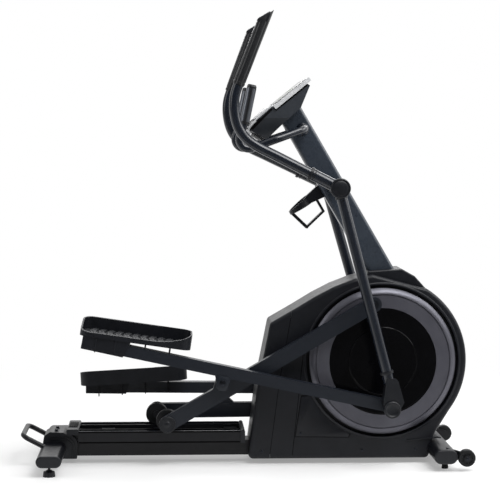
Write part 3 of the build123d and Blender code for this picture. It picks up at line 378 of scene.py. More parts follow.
# %% Dress the solids
LOOKS = (
    (charcoal_paint, "handlebar swing_arm upper_arm"),
    (arm_paint, "roller_link pedal_arm"),
    (mast_paint_painted_light, "mast"),
    (black_paint, "base_frame ramp_rails lift_handle crank_arm bottle_holder brake_unit"),
    (black_paint, "front_stabilizer rear_stabilizer"),
    (housing_plastic, "shroud rear_panel mast_boot"),
    (pedal_plastic, "pedal"),
    (trim_plastic, "stabilizer_caps ramp_end_stops rear_cover leveller arm_covers roller_axle"),
    (console_plastic, "console_shell"),
    (silver_plastic, "console_display console_keypad"),
    (grip_rubber, "grip pulse_grips"),
    (foot_rubber, "front_feet ramp_bumpers drive_belt"),
    (roller_plastic, "roller wheel"),
    (ring_satin, "disc_ring"),
    (gloss_black, "disc_centre"),
    (zinc_steel, "crank_axle crank_bearings"),
    (dark_bolt, "arm_shaft crank_pin"),
    (turned_iron, "flywheel"),
    (pulley_plastic, "drive_pulley idler_pulley"),
    (board_green, "control_board"),
)
look_of = {name: look for look, names in LOOKS for name in names.split()}
for name, solid in nodes.items():
    kind = name.removeprefix("right_").removeprefix("left_")
    solid.data.materials.clear()
    solid.data.materials.append(look_of[kind])
print("dressed", len(nodes), "solids")

# %% [markdown]
# New pieces are drawn for the machine's right side and mirrored for the left.
# The linkage rests with the right crank up, so the moving pieces need the rest place of each side:
# the foot pivot, the roller axle, the crank pin and the tilt of the pedal arm and the link.

# %% Rest places of the linkage
REST = {
    "right": {
        "pin": (0.48671, 0.6229), "roller": (-0.29969, 0.169), "pivot": (-0.0917, 0.33396),
        "foot": (0.54032, 0.24117), "link": 29.993, "pedal": -8.352, "arm": 0.0,
    },
    "left": {
        "pin": (0.56729, 0.1751), "roller": (-0.34069, 0.169), "pivot": (-0.07836, 0.20966),
        "foot": (0.55941, 0.246), "link": 0.385, "pedal": 3.261, "arm": 1.325,
    },
}
SIDES = ("right", "left")
ARM_SHAFT = (0.341, 1.0685)
CRANK = (0.527, 0.399)
ACROSS = Matrix.Rotation(math.pi / 2, 4, "X")


def carried(point, tilt):
    """Side-view frame moved to a point and tilted nose up by degrees."""
    return Matrix.Translation((point[0], 0.0, point[1])) @ Matrix.Rotation(-math.radians(tilt), 4, "Y")


def arm_place(side):
    """The right arm's rest place swung to where this side's arm rests."""
    hinge = Matrix.Translation((ARM_SHAFT[0], 0.0, ARM_SHAFT[1]))
    swing = Matrix.Rotation(-math.radians(REST[side]["arm"]), 4, "Y")
    return hinge @ swing @ hinge.inverted()


def side_place(side, matrix):
    return matrix if side == "right" else Matrix.Scale(-1.0, 4, (0.0, 1.0, 0.0)) @ matrix


print("rest places for", SIDES)

# %% [markdown]
# One helper closes every new piece: it merges doubles, turns the faces outward, rounds the sharp edges,
# hands the mesh its finish and lets it ride on a body, so no piece can be left behind when a joint moves.


# %% Helpers for pieces
MERGE = 1e-6
SHARP = math.radians(30.0)
CREASE = math.radians(38)


def verts_of(made):
    """The vertices among what an operator made."""
    return [g for g in made["geom"] if isinstance(g, bmesh.types.BMVert)]


def round_edges(bm, width, steps):
    edges = [e for e in bm.edges if len(e.link_faces) == 2 and e.calc_face_angle(0.0) > SHARP]
    bmesh.ops.bevel(
        bm, geom=edges, offset=width, offset_type="OFFSET", segments=steps,
        profile=0.5, affect="EDGES", clamp_overlap=True, material=-1,
    )


def piece(name, bm, look, body, edge=0.0, place=None, side="right", steps=2):
    bmesh.ops.remove_doubles(bm, verts=bm.verts[:], dist=MERGE)
    bmesh.ops.recalc_face_normals(bm, faces=bm.faces[:])
    if edge:
        round_edges(bm, edge, steps)
    bmesh.ops.transform(bm, matrix=side_place(side, place or Matrix()), verts=bm.verts[:])
    bmesh.ops.recalc_face_normals(bm, faces=bm.faces[:])
    mesh = bpy.data.meshes.new(name)
    bm.to_mesh(mesh)
    bm.free()
    mesh.shade_smooth()
    mesh.set_sharp_from_angle(angle=CREASE)
    mesh.materials.append(look)
    made = bpy.data.objects.new(name, mesh)
    bpy.context.scene.collection.objects.link(made)
    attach(made, body)
    return made


def plate(bm, corners, y_in, y_out):
    """Flat plate from side-view corners, between two distances out from the middle plane."""
    verts = [bm.verts.new((x, -y_in, z)) for x, z in corners]
    face = bm.faces.new(verts)
    grown = bmesh.ops.extrude_face_region(bm, geom=[face])
    bmesh.ops.translate(bm, verts=verts_of(grown), vec=(0.0, y_in - y_out, 0.0))


def block(bm, x, y, z):
    """Block from three low and high pairs."""
    size = [high - low for low, high in (x, y, z)]
    middle = [(high + low) / 2 for low, high in (x, y, z)]
    place = Matrix.Translation(middle) @ Matrix.Diagonal((*size, 1.0))
    return bmesh.ops.create_cube(bm, size=1.0, matrix=place)["verts"]


def drum(bm, spot, radius, y_in, y_out, sides=40, tip=None):
    """Round boss across the machine, tip gives the outer radius of a cone."""
    place = Matrix.Translation((spot[0], -(y_in + y_out) / 2, spot[1])) @ ACROSS
    return bmesh.ops.create_cone(
        bm, cap_ends=True, segments=sides, radius1=radius,
        radius2=radius if tip is None else tip, depth=y_out - y_in, matrix=place,
    )["verts"]


def turned(bm, spot, profile, steps=72):
    """Ring or cap turned about an axis across the machine from (radius, distance out) points."""
    verts = [bm.verts.new((spot[0] + r, -y, spot[1])) for r, y in profile]
    edges = [bm.edges.new(pair) for pair in zip(verts, verts[1:])]
    bmesh.ops.spin(
        bm, geom=verts + edges, cent=(spot[0], 0.0, spot[1]), axis=(0.0, 1.0, 0.0),
        angle=2 * math.pi, steps=steps, use_merge=True,
    )
    bmesh.ops.remove_doubles(bm, verts=bm.verts[:], dist=MERGE)


def hex_bolt(bm, spot, y_face, size, tall):
    """Bolt head with a flange, standing out from a face."""
    drum(bm, spot, size * 1.35, y_face, y_face + tall * 0.25, 28, size * 1.3)
    drum(bm, spot, size, y_face + tall * 0.2, y_face + tall, 6)


print("piece helpers ready")

# %% [markdown]
# Each pedal holds a ribbed rubber mat that stops the shoe from sliding.
# It could be one displaced sheet, but separate lugs keep their crisp sides, so a thin base mat
# with rounded corners carries two rows of slanted lugs, each with a raised bead across it.

# %% Pedal mats
MAT_X = (-0.548, -0.146)
MAT_Y = (-0.206, -0.054)
MAT_Z = 0.1103
MAT_THICK = 0.004
MAT_CORNER = 0.032
MAT_EDGE = 0.025
LUGS = 11
LUG_ROWS = ((-0.199, -0.134, 0.16), (-0.126, -0.061, -0.16))
LUG_HALF = 0.34
LUG_Z = (MAT_Z + 0.003, MAT_Z + 0.0095)
BEAD_HALF = 0.002
BEAD_INSET = 0.004
BEAD_Z = (MAT_Z + 0.009, MAT_Z + 0.0112)
pitch = (MAT_X[1] - MAT_X[0] - 2 * MAT_EDGE) / LUGS
for side in SIDES:
    bm = bmesh.new()
    corners = [(MAT_X[0], MAT_Y[0]), (MAT_X[1], MAT_Y[0]), (MAT_X[1], MAT_Y[1]), (MAT_X[0], MAT_Y[1])]
    sheet = bm.faces.new([bm.verts.new((x, y, MAT_Z)) for x, y in corners])
    bmesh.ops.bevel(
        bm, geom=sheet.verts[:], offset=MAT_CORNER, offset_type="OFFSET", segments=6,
        profile=0.5, affect="VERTICES", material=-1,
    )
    grown = bmesh.ops.extrude_face_region(bm, geom=bm.faces[:])
    bmesh.ops.translate(bm, verts=verts_of(grown), vec=(0.0, 0.0, MAT_THICK))
    for y_low, y_high, slant in LUG_ROWS:
        for step in range(LUGS):
            x_mid = MAT_X[0] + MAT_EDGE + pitch * (step + 0.5)
            lug = block(bm, (x_mid - pitch * LUG_HALF, x_mid + pitch * LUG_HALF), (y_low, y_high), LUG_Z)
            bead_y = (y_low + BEAD_INSET, y_high - BEAD_INSET)
            bead = block(bm, (x_mid - BEAD_HALF, x_mid + BEAD_HALF), bead_y, BEAD_Z)
            turn = Matrix.Rotation(slant, 3, "Z")
            bmesh.ops.rotate(bm, verts=lug + bead, cent=(x_mid, (y_low + y_high) / 2, 0.0), matrix=turn)
    mat = piece(f"{side}_pedal_mat", bm, tread_rubber, f"{side}_pedal", 0.0012,
                carried(REST[side]["pivot"], REST[side]["pedal"]), side)
    print(mat.name, len(mat.data.polygons), "faces")

# %% [markdown]
# The tray's outside carries short upright ribs, its base two more, and thin webs stand below the tray.
# They could be cut into the tray, but that is already the right shape, so thin blocks laid on it will do.

# %% Pedal ribs
PEDAL_RIBS = (
    ((-0.5, -0.43, -0.36, -0.29, -0.22), 0.0025, (-0.2168, -0.2125), (0.1055, 0.1195)),
    ((-0.493, -0.42), 0.003, (-0.2135, -0.2095), (0.059, 0.1035)),
    ((-0.493, -0.4, -0.307, -0.214), 0.002, (-0.1655, -0.15), (0.042, 0.1045)),
)
for side in SIDES:
    bm = bmesh.new()
    for places, half, y, z in PEDAL_RIBS:
        for x in places:
            block(bm, (x - half, x + half), y, z)
    ribs = piece(f"{side}_pedal_ribs", bm, pedal_plastic, f"{side}_pedal", 0.001,
                 carried(REST[side]["pivot"], REST[side]["pedal"]), side)
    print(ribs.name, len(ribs.data.polygons), "faces")

# %% [markdown]
# The moving hand grips are fluted rubber sleeves with a slanted end cap that leans forward.
# A circle of vertices pulled in along four flutes and extruded up the grip gives the section,
# and a cut on the slant takes off the top where the cap sits.

# %% Hand grips
GRIP_FOOT = Vector((-0.035, -0.245, 1.451))
GRIP_TILT = math.atan2(0.066 + 0.035, 1.709 - 1.451)
GRIP_RADIUS = 0.0212
GRIP_TALL = 0.307
GRIP_STEPS = ((0.004, 1.06), (0.011, 1.0), (0.012, 0.94), (0.018, 1.065), (0.15, 1.0), (GRIP_TALL, 1.0))
FLUTE_ANGLES = (-52, 52, -128, 128)
FLUTE_WIDTH = 0.16
FLUTE_DEPTH = 0.0022
CUT_SPOT = (0.05, -0.245, 1.694)
CUT_FACING = Vector((-0.044, 0.0, 0.063)).normalized()
CAP_LINE = (
    (0.0335, 1.684), (0.0345, 1.6935), (0.0815, 1.7215), (0.0855, 1.712), (0.0785, 1.694), (0.072, 1.681),
)
grip_place = Matrix.Translation(GRIP_FOOT) @ Matrix.Rotation(GRIP_TILT, 4, "Y")


def flute(angle, centre):
    """How far the section is sunk at an angle by the flute at a centre."""
    gap = math.atan2(math.sin(angle - centre), math.cos(angle - centre))
    return FLUTE_DEPTH * math.exp(-((gap / FLUTE_WIDTH) ** 2))


for side in SIDES:
    bm = bmesh.new()
    ring = bmesh.ops.create_circle(bm, segments=72, radius=GRIP_RADIUS)["verts"]
    for v in ring:
        turn = math.atan2(v.co.y, v.co.x)
        sunk = sum(flute(turn, math.radians(c)) for c in FLUTE_ANGLES)
        v.co *= 1.0 - sunk / GRIP_RADIUS
    lift = 0.0
    for height, grow in GRIP_STEPS:
        edges = [e for e in bm.edges if all(abs(v.co.z - lift) < 1e-7 for v in e.verts)]
        tops = verts_of(bmesh.ops.extrude_edge_only(bm, edges=edges))
        bmesh.ops.translate(bm, verts=tops, vec=(0.0, 0.0, height - lift))
        bmesh.ops.scale(bm, verts=tops, vec=(grow, grow, 1.0))
        lift = height
    bmesh.ops.transform(bm, matrix=grip_place, verts=bm.verts[:])
    bmesh.ops.bisect_plane(
        bm, geom=bm.verts[:] + bm.edges[:] + bm.faces[:], plane_co=CUT_SPOT,
        plane_no=CUT_FACING, clear_outer=True,
    )
    bmesh.ops.holes_fill(bm, edges=bm.edges[:], sides=200)
    sleeve = piece(f"{side}_grip_sleeve", bm, grip_rubber, f"{side}_arm", 0.0, arm_place(side), side)
    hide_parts(f"{side}_grip")
    bm = bmesh.new()
    plate(bm, CAP_LINE, 0.2235, 0.2665)
    cap = piece(f"{side}_grip_cap", bm, trim_plastic, f"{side}_arm", 0.006, arm_place(side), side, 4)
    print(sleeve.name, len(sleeve.data.polygons), cap.name, len(cap.data.polygons))

# %% [markdown]
# The fixed grips read the pulse through two curved steel contacts on each grip, front and back.
# A short straight edge spun part of the way round the grip and given a thickness makes such a curved plate.

# %% Pulse contacts
PULSE_FOOT = Vector((-0.0096, -0.178, 1.307))
PULSE_TILT = math.atan2(0.0276, 0.135)
PULSE_RADIUS = 0.0186
PULSE_SPAN = (0.01, 0.136)
PULSE_HALF_TURN = 1.38
PULSE_WALL = 0.0012
for side in SIDES:
    bm = bmesh.new()
    for middle in (0.0, math.pi):
        start = Matrix.Rotation(middle - PULSE_HALF_TURN, 3, "Z") @ Vector((PULSE_RADIUS, 0.0, 0.0))
        verts = [bm.verts.new(start + Vector((0.0, 0.0, z))) for z in PULSE_SPAN]
        edge = bm.edges.new(verts)
        bmesh.ops.spin(
            bm, geom=verts + [edge], cent=(0, 0, 0), axis=(0, 0, 1), angle=2 * PULSE_HALF_TURN, steps=22,
        )
    bmesh.ops.recalc_face_normals(bm, faces=bm.faces[:])
    bmesh.ops.solidify(bm, geom=bm.faces[:], thickness=PULSE_WALL)
    place = Matrix.Translation(PULSE_FOOT) @ Matrix.Rotation(PULSE_TILT, 4, "Y")
    plates = piece(f"{side}_pulse_plates", bm, pulse_steel, "frame", 0.0, place, side)
    print(plates.name, len(plates.data.polygons), "faces")

# %% [markdown]
# The console is a thin shell with a bright display slab on top and a curved silver keypad below it.
# Its pieces lie on a slope, so they are drawn flat, with Y up the slope and Z out of the face,
# and one matrix lays each of them on the console. Drawn in place, each corner would need turning by hand.


# %% Console places
def sloped(low, high):
    """Frame on a sloping face: X to the user's right, Y up the slope, Z out of the face."""
    up = Vector((high[0] - low[0], 0.0, high[1] - low[1])).normalized()
    right = Vector((0.0, -1.0, 0.0))
    out = right.cross(up)
    turn = Matrix((right, up, out)).transposed().to_4x4()
    return Matrix.Translation((low[0], 0.0, low[1])) @ turn


display_place = sloped((0.099, 1.375), (0.232, 1.483))
DISPLAY_RISE = 0.1713
FLAT_GAP = 1e-7


def pad(bm, x, y, z, corner, steps=5):
    """Flat pad with rounded corners from low and high pairs, for keys and panels."""
    flat = [(x[0], y[0]), (x[1], y[0]), (x[1], y[1]), (x[0], y[1])]
    face = bm.faces.new([bm.verts.new((a, b, z[0])) for a, b in flat])
    bmesh.ops.bevel(
        bm, geom=face.verts[:], offset=corner, offset_type="OFFSET", segments=steps,
        profile=0.5, affect="VERTICES", material=-1,
    )

    def within(f):
        spot = f.calc_center_median()
        return abs(spot.z - z[0]) < FLAT_GAP and x[0] <= spot.x <= x[1] and y[0] <= spot.y <= y[1]

    face = max(filter(within, bm.faces), key=lambda f: len(f.verts))
    grown = bmesh.ops.extrude_face_region(bm, geom=[face])
    bmesh.ops.translate(bm, verts=verts_of(grown), vec=(0.0, 0.0, z[1] - z[0]))


print("display slopes", round(math.degrees(math.asin(display_place[2][1])), 1), "degrees")

# %% [markdown]
# The display is a dark window in a black surround. The picture only shows the slab's bright edge,
# so the face is a plain one: a glossy window with five plain numbers made of seven-segment strokes.
# Strokes are thin raised bars, because geometry stays crisp at any distance where a pattern would blur.

# %% Display window and numbers
SEGMENTS = {
    "0": "abcdef", "1": "bc", "2": "abged", "3": "abgcd", "4": "fgbc",
    "5": "afgcd", "6": "afgedc", "7": "abc", "8": "abcdefg", "9": "abcdfg",
}
DIGIT_HIGH = 0.022
DIGIT_WIDE = 0.011
STROKE = 0.0022
NUMBERS = (
    (-0.1, 0.098, "12"), (0.0, 0.098, "30"), (0.1, 0.098, "85"),
    (-0.06, 0.05, "4"), (0.06, 0.05, "120"),
)
bm = bmesh.new()
pad(bm, (-0.166, 0.166), (0.012, DISPLAY_RISE - 0.011), (-0.004, 0.0016), 0.012)
surround = piece("display_surround", bm, trim_plastic, "frame", 0.0012, display_place)
bm = bmesh.new()
pad(bm, (-0.152, 0.152), (0.024, DISPLAY_RISE - 0.023), (-0.002, 0.0022), 0.006)
window = piece("display_window", bm, gloss_black, "frame", 0.0006, display_place)
bm = bmesh.new()
for middle, row, number in NUMBERS:
    start = middle - (len(number) - 1) * DIGIT_WIDE * 0.8
    for step, digit in enumerate(number):
        x, y = start + step * DIGIT_WIDE * 1.6, row
        half = DIGIT_HIGH / 2
        spots = {
            "a": (x, y + half, 0), "g": (x, y, 0), "d": (x, y - half, 0),
            "f": (x - DIGIT_WIDE / 2, y + half / 2, 1), "b": (x + DIGIT_WIDE / 2, y + half / 2, 1),
            "e": (x - DIGIT_WIDE / 2, y - half / 2, 1), "c": (x + DIGIT_WIDE / 2, y - half / 2, 1),
        }
        for name in SEGMENTS[digit]:
            a, b, upright = spots[name]
            wide, high = (STROKE, half - 0.001) if upright else (DIGIT_WIDE - 0.001, STROKE)
            block(bm, (a - wide / 2, a + wide / 2), (b - high / 2, b + high / 2), (0.0018, 0.0026))
digits = piece("display_numbers", bm, lit_digit, "frame", 0.0, display_place)
print(surround.name, window.name, digits.name, len(digits.data.polygons), "faces")

# %% [markdown]
# The keypad has a bowed silver skin that wraps over its lower lip, with a row of dark keys.
# The bow is drawn in side view and pulled across the console, which keeps its curve true.
# Keys are small rounded pads that follow the slope, with one larger pair in the middle for start and stop.

# %% Keypad skin and keys
BOW = [
    (0.0927, 1.3788), (0.0735, 1.3625), (0.0514, 1.3425), (0.0253, 1.3168),
    (0.0065, 1.294), (0.0035, 1.283), (0.0124, 1.2665),
]
BOW_LIP = [(0.0165, 1.2705), (0.0105, 1.2835)]
BOW_WALL = (0.0058, -0.0052)
KEY_ROWS = (0.014, 0.038)
KEY_COLUMNS = (-0.122, -0.092, -0.062, 0.062, 0.092, 0.122)
bm = bmesh.new()
inner = [(x + BOW_WALL[0], z + BOW_WALL[1]) for x, z in reversed(BOW[:-2])]
plate(bm, BOW + BOW_LIP + inner, -0.1665, 0.1665)
skin = piece("keypad_skin", bm, silver_plastic, "frame", 0.0016)
key_place = sloped((0.0065, 1.2945), (0.0514, 1.3435))
bm = bmesh.new()
for row in KEY_ROWS:
    for x in KEY_COLUMNS:
        pad(bm, (x - 0.011, x + 0.011), (row - 0.008, row + 0.008), (-0.004, 0.0014), 0.004)
keys = piece("keypad_keys", bm, trim_plastic, "frame", 0.0005, key_place)
print(skin.name, keys.name)
for name, look, x in (("start_key", console_plastic, -0.024), ("stop_key", trim_plastic, 0.024)):
    bm = bmesh.new()
    pad(bm, (x - 0.018, x + 0.018), (0.006, 0.046), (-0.004, 0.0018), 0.009)
    key = piece(name, bm, look, "frame", 0.0007, key_place)
    print(key.name)

# %% [markdown]
# Below the display slab a dark strip on each flank stands for the shade under the slab's edge: painted
# shadow.
# The shell ends in a ribbed grey vent at its lower edge, and the vent is a block with a comb of ribs on it.
# The comb is drawn flat and laid on the vent by one matrix, so all its ribs stay square to the slope.

# %% Console shadow band, vent and flange
SHADOW_BAND_LINE = ((0.1075, 1.3655), (0.2205, 1.4585), (0.229, 1.4555), (0.2285, 1.451), (0.1105, 1.3565))
KEYPAD_LINE = ((0.0125, 1.2905), (0.0905, 1.3665), (0.0995, 1.3625), (0.0235, 1.286))
VENT_LINE = ((0.0392, 1.2765), (0.0787, 1.2515), (0.0677, 1.2419), (0.0297, 1.267))
VENT_RIBS = 7
VENT_PITCH = 0.0063
FLANGE_LINE = ((0.1945, 1.3665), (0.2125, 1.384), (0.215, 1.3815), (0.197, 1.364))
for side in SIDES:
    bm = bmesh.new()
    # Painted shadow: a dark strip where the display slab shades the console's flank.
    plate(bm, SHADOW_BAND_LINE, 0.171, 0.1732)
    shadow_band = piece(f"{side}_display_shadow_band", bm, seam_and_shadow_dark, "frame", 0.0006, None, side)
    bm = bmesh.new()
    plate(bm, KEYPAD_LINE, 0.1595, 0.1732)
    flank = piece(f"{side}_keypad_flank", bm, seam_and_shadow_dark, "frame", 0.002, None, side)
    print(shadow_band.name, flank.name)
bm = bmesh.new()
plate(bm, VENT_LINE, -0.112, 0.112)
vent = piece("console_vent", bm, grey_cover, "frame", 0.0018)
along = Vector((0.0395, 0.0, -0.025)).normalized()
out = Vector((-0.0102, 0.0, -0.0091)).normalized()
vent_turn = Matrix((along, Vector((0.0, 1.0, 0.0)), out)).transposed().to_4x4()
vent_place = Matrix.Translation((0.0297, 0.0, 1.267)) @ vent_turn
bm = bmesh.new()
for step in range(VENT_RIBS):
    middle = 0.004 + VENT_PITCH * step
    block(bm, (middle - 0.0017, middle + 0.0017), (-0.1138, 0.1138), (-0.0085, 0.0022))
comb = piece("console_vent_ribs", bm, trim_plastic, "frame", 0.0007, vent_place)
bm = bmesh.new()
plate(bm, FLANGE_LINE, -0.07, 0.07)
flange = piece("console_flange", bm, trim_plastic, "frame", 0.0006)
print(vent.name, comb.name, flange.name)

# %% [markdown]
# The fixed handlebar passes through the mast in a pair of flanged collars, and each grip ends in a soft plug.
# A collar is turned from a short profile about the bar's own line across the machine.

# %% Handlebar collars and plugs
BAR_MOUNT = (0.22215, 1.28860)
COLLAR_PROFILE = (
    (0.0151, 0.0345), (0.0245, 0.0345), (0.0245, 0.0385), (0.0215, 0.0415), (0.0185, 0.044),
    (0.0178, 0.05), (0.0151, 0.0505), (0.0151, 0.0345),
)
PULSE_TOP = (0.018, -0.178, 1.442)
PLUG_RISE = 0.0095
tilt = Matrix.Rotation(PULSE_TILT, 4, "Y")
plug_place = Matrix.Translation(PULSE_TOP) @ tilt @ Matrix.Translation((0.0, 0.0, PLUG_RISE))
for side in SIDES:
    bm = bmesh.new()
    turned(bm, BAR_MOUNT, COLLAR_PROFILE, 56)
    collar = piece(f"{side}_bar_collar", bm, charcoal_paint, "frame", 0.0, None, side)
    bm = bmesh.new()
    bmesh.ops.create_cone(bm, cap_ends=True, segments=48, radius1=0.0172, radius2=0.0155, depth=0.006)
    plug = piece(f"{side}_pulse_plug", bm, trim_plastic, "frame", 0.002, plug_place, side, 3)
    print(collar.name, plug.name)

# %% [markdown]
# The arm hubs and foot pivots carry round moulded caps: a dome with a raised rim at the shaft
# and a dished cap at the foot. Both are turned profiles, the natural way to make anything
# that came off a lathe or out of a round mould.

# %% Arm caps
DOME_PROFILE = (
    (0.0, 0.2994), (0.011, 0.299), (0.02, 0.2978), (0.0265, 0.2962), (0.0295, 0.2945), (0.0, 0.294),
)
RIM_PROFILE = (
    (0.0315, 0.2942), (0.0325, 0.2962), (0.0345, 0.2966), (0.0362, 0.2955),
    (0.0362, 0.2942), (0.0315, 0.2942),
)
FOOT_PROFILE = (
    (0.0, 0.2728), (0.017, 0.273), (0.0215, 0.2745), (0.0255, 0.2778), (0.0292, 0.2778),
    (0.0318, 0.2755), (0.0322, 0.2685), (0.0, 0.2685),
)
for side in SIDES:
    bm = bmesh.new()
    turned(bm, ARM_SHAFT, DOME_PROFILE)
    turned(bm, ARM_SHAFT, RIM_PROFILE)
    dome = piece(f"{side}_hub_dome", bm, trim_plastic, f"{side}_arm", 0.0, arm_place(side), side)
    bm = bmesh.new()
    turned(bm, REST["right"]["foot"], FOOT_PROFILE)
    cap = piece(f"{side}_foot_cap", bm, trim_plastic, f"{side}_arm", 0.0, arm_place(side), side)
    print(dome.name, cap.name, len(cap.data.polygons))

# %% [markdown]
# Each swing arm is sleeved: the upper tube slides into a socket above the hub, and a boot closes the foot.
# A band round each joint hides the step between the two diameters.
# Bands are short turned rings laid along the tube, so one helper makes them all.


# %% Sleeve bands
BAND_SWELL = 0.0008
RISE_ANGLE = math.radians(26.9)
FALL_ANGLE = math.radians(14.68)
HUB = Vector((ARM_SHAFT[0], -0.245, ARM_SHAFT[1]))
RISE = Vector((-math.cos(RISE_ANGLE), 0.0, math.sin(RISE_ANGLE)))
FALL = Vector((math.sin(FALL_ANGLE), 0.0, -math.cos(FALL_ANGLE)))
BANDS = (
    (RISE, 0.1135, 0.1235, 0.0252, 0.007),
    (RISE, 0.1035, 0.1075, 0.0241, 0.004),
    (FALL, 0.031, 0.039, 0.0238, 0.006),
    (FALL, 0.7085, 0.7185, 0.0252, 0.007),
)


def band(bm, along, low, high, radius, wall):
    """Ring round a line that leaves the hub, from low to high along it in metres."""
    turn = along.to_track_quat("Z", "Y").to_matrix().to_4x4()
    place = Matrix.Translation(HUB + along * (low + high) / 2) @ turn
    half = (high - low) / 2
    inside = radius - wall
    profile = [(inside, -half), (radius, -half), (radius + BAND_SWELL, 0.0), (radius, half), (inside, half)]
    verts = [bm.verts.new((r, 0.0, z)) for r, z in profile]
    edges = [bm.edges.new((a, b)) for a, b in zip(verts, verts[1:] + verts[:1])]
    bmesh.ops.spin(
        bm, geom=verts + edges, cent=(0, 0, 0), axis=(0, 0, 1),
        angle=2 * math.pi, steps=56, use_merge=True,
    )
    fresh = [v for v in bm.verts if not v.tag]
    bmesh.ops.transform(bm, matrix=place, verts=fresh)
    for v in fresh:
        v.tag = True


for side in SIDES:
    bm = bmesh.new()
    for along, low, high, radius, wall in BANDS:
        band(bm, along, low, high, radius, wall)
    bands = piece(f"{side}_arm_bands", bm, trim_plastic, f"{side}_arm", 0.0, arm_place(side), side)
    print(bands.name, len(bands.data.polygons), "faces")

# %% [markdown]
# The crank disc turns with the pedals. Its glossy centre has a shallow ridge and a hub cap in the middle,
# and its sloping outer edge is skinned in a lighter, more metallic copy of the ring's satin, a painted
# highlight on the bevel.
# All are round about the crank's axis, so they are turned from profiles, and they ride on the crank.

# %% Crank disc details
RIDGE_PROFILE = ((0.1262, 0.1066), (0.1282, 0.1088), (0.1308, 0.1092), (0.1336, 0.1068), (0.1262, 0.1066))
DISC_RIM_PROFILE = (
    (0.2602, 0.1153), (0.2702, 0.1127), (0.2816, 0.0984), (0.2816, 0.096), (0.2806, 0.096),
    (0.2806, 0.0976), (0.2696, 0.1114), (0.2604, 0.1138), (0.2602, 0.1153),
)
NUT_PROFILE = (
    (0.0, 0.1102), (0.009, 0.11), (0.0135, 0.1092), (0.016, 0.1078), (0.017, 0.1055), (0.0, 0.1055),
)
for side in SIDES:
    bm = bmesh.new()
    turned(bm, CRANK, RIDGE_PROFILE, 96)
    ridge = piece(f"{side}_disc_ridge", bm, gloss_black, "crank", 0.0, None, side)
    bm = bmesh.new()
    turned(bm, CRANK, DISC_RIM_PROFILE, 160)
    # Painted highlight: the bevel gets a brighter copy of the ring's satin.
    rim = piece(f"{side}_disc_rim", bm, rim_satin_painted_highlight, "crank", 0.0, None, side)
    bm = bmesh.new()
    turned(bm, CRANK, NUT_PROFILE)
    nut = piece(f"{side}_crank_cap", bm, trim_plastic, "crank", 0.0, None, side)
    print(ridge.name, rim.name, nut.name)

# %% [markdown]
# Bolts hold the linkage together: a flanged hexagon on a plate at the pedal arm's pivot,
# a flat hexagon at the crank pin and a round button at the roller axle.
# Each is drawn about its own axis and rides on the part that it clamps, so it keeps its place in every pose.

# %% Linkage bolts
CENTRE = (0.0, 0.0)
LINK_PIN = (0.908, 0.0)
LUG_LINE = (
    (-0.026, 0.02), (-0.018, 0.027), (0.018, 0.025), (0.026, 0.017),
    (0.02, -0.02), (0.012, -0.0275), (-0.012, -0.0275), (-0.02, -0.02),
)
BUTTON_PROFILE = ((0.0, 0.1664), (0.0085, 0.166), (0.0125, 0.1638), (0.0135, 0.1625), (0.0, 0.1625))
WASHER_PROFILE = ((0.0235, 0.1626), (0.0245, 0.1644), (0.0268, 0.1644), (0.0278, 0.1626), (0.0235, 0.1626))
for side in SIDES:
    rest = REST[side]
    pedal_place = carried(rest["pivot"], rest["pedal"])
    link_place = carried(rest["roller"], rest["link"])
    axle_place = carried(rest["roller"], 0.0)
    pedal_body = f"{side}_pedal"
    axle_body = f"{side}_carriage"
    bm = bmesh.new()
    hex_bolt(bm, CENTRE, 0.2118, 0.0095, 0.0065)
    pivot = piece(f"{side}_pivot_bolt", bm, dark_bolt, pedal_body, 0.0007, pedal_place, side)
    bm = bmesh.new()
    plate(bm, LUG_LINE, 0.204, 0.2085)
    lug = piece(f"{side}_pivot_plate", bm, arm_paint, pedal_body, 0.0012, pedal_place, side)
    bm = bmesh.new()
    drum(bm, LINK_PIN, 0.0112, 0.1575, 0.1588, 6)
    pin = piece(f"{side}_pin_hex", bm, dark_bolt, f"{side}_link", 0.0004, link_place, side)
    bm = bmesh.new()
    turned(bm, CENTRE, BUTTON_PROFILE, 40)
    turned(bm, CENTRE, WASHER_PROFILE, 64)
    button = piece(f"{side}_roller_button", bm, trim_plastic, axle_body, 0.0, axle_place, side)
    print(pivot.name, lug.name, pin.name, button.name)

# %% [markdown]
# The housing is two mouldings and a rear panel. Each flank has panel lines, an access cover below the disc
# and a rolled lip round the disc's pocket. A line is a narrow dark strip. The cover is a thin plate
# with a soft edge on a slightly larger dark plate, which shows round it as a seam. The lip is a turned ring.
# All lie just proud of the moulding, because cutting real grooves would need the moulding itself to change.

# %% Housing lines, cover and lip
FLANK = 0.095
PANEL_LINES = (
    ((0.2229, 0.446), (0.2252, 0.446), (0.1822, 0.035), (0.1799, 0.035)),
    ((0.1281, 0.3078), (0.1301, 0.3074), (0.0956, 0.039), (0.0934, 0.0392)),
    ((0.1281, 0.3078), (0.1301, 0.3074), (0.1753, 0.568), (0.1733, 0.5683)),
)
COVER_CORNERS = [(0.2165, 0.262), (0.1935, 0.108), (0.3965, 0.105), (0.4035, 0.121)]
COVER_RADIUS = 0.307
COVER_MIDDLE = (0.29, 0.165)
SEAM_GROWTH = (1.03, 1.045)
LIP_PROFILE = (
    (0.2932, 0.0905), (0.2932, 0.0962), (0.2946, 0.0976), (0.2985, 0.0976),
    (0.3025, 0.0958), (0.3035, 0.0942), (0.2932, 0.0905),
)
SCREW_SPOTS = ((0.064, 0.051), (0.451, 0.053), (0.658, 0.055), (0.212, 0.12))
SCREW_PROFILE = (
    (0.0, FLANK + 0.0042), (0.003, FLANK + 0.004), (0.0052, FLANK + 0.0026),
    (0.0058, FLANK - 0.001), (0.0, FLANK - 0.001),
)
arc = [math.radians(a) for a in range(-114, -155, -4)]
cover_line = COVER_CORNERS + [
    (CRANK[0] + COVER_RADIUS * math.cos(a), CRANK[1] + COVER_RADIUS * math.sin(a)) for a in arc
]
seam_line = [[m + (c - m) * g for c, m, g in zip(corner, COVER_MIDDLE, SEAM_GROWTH)] for corner in cover_line]
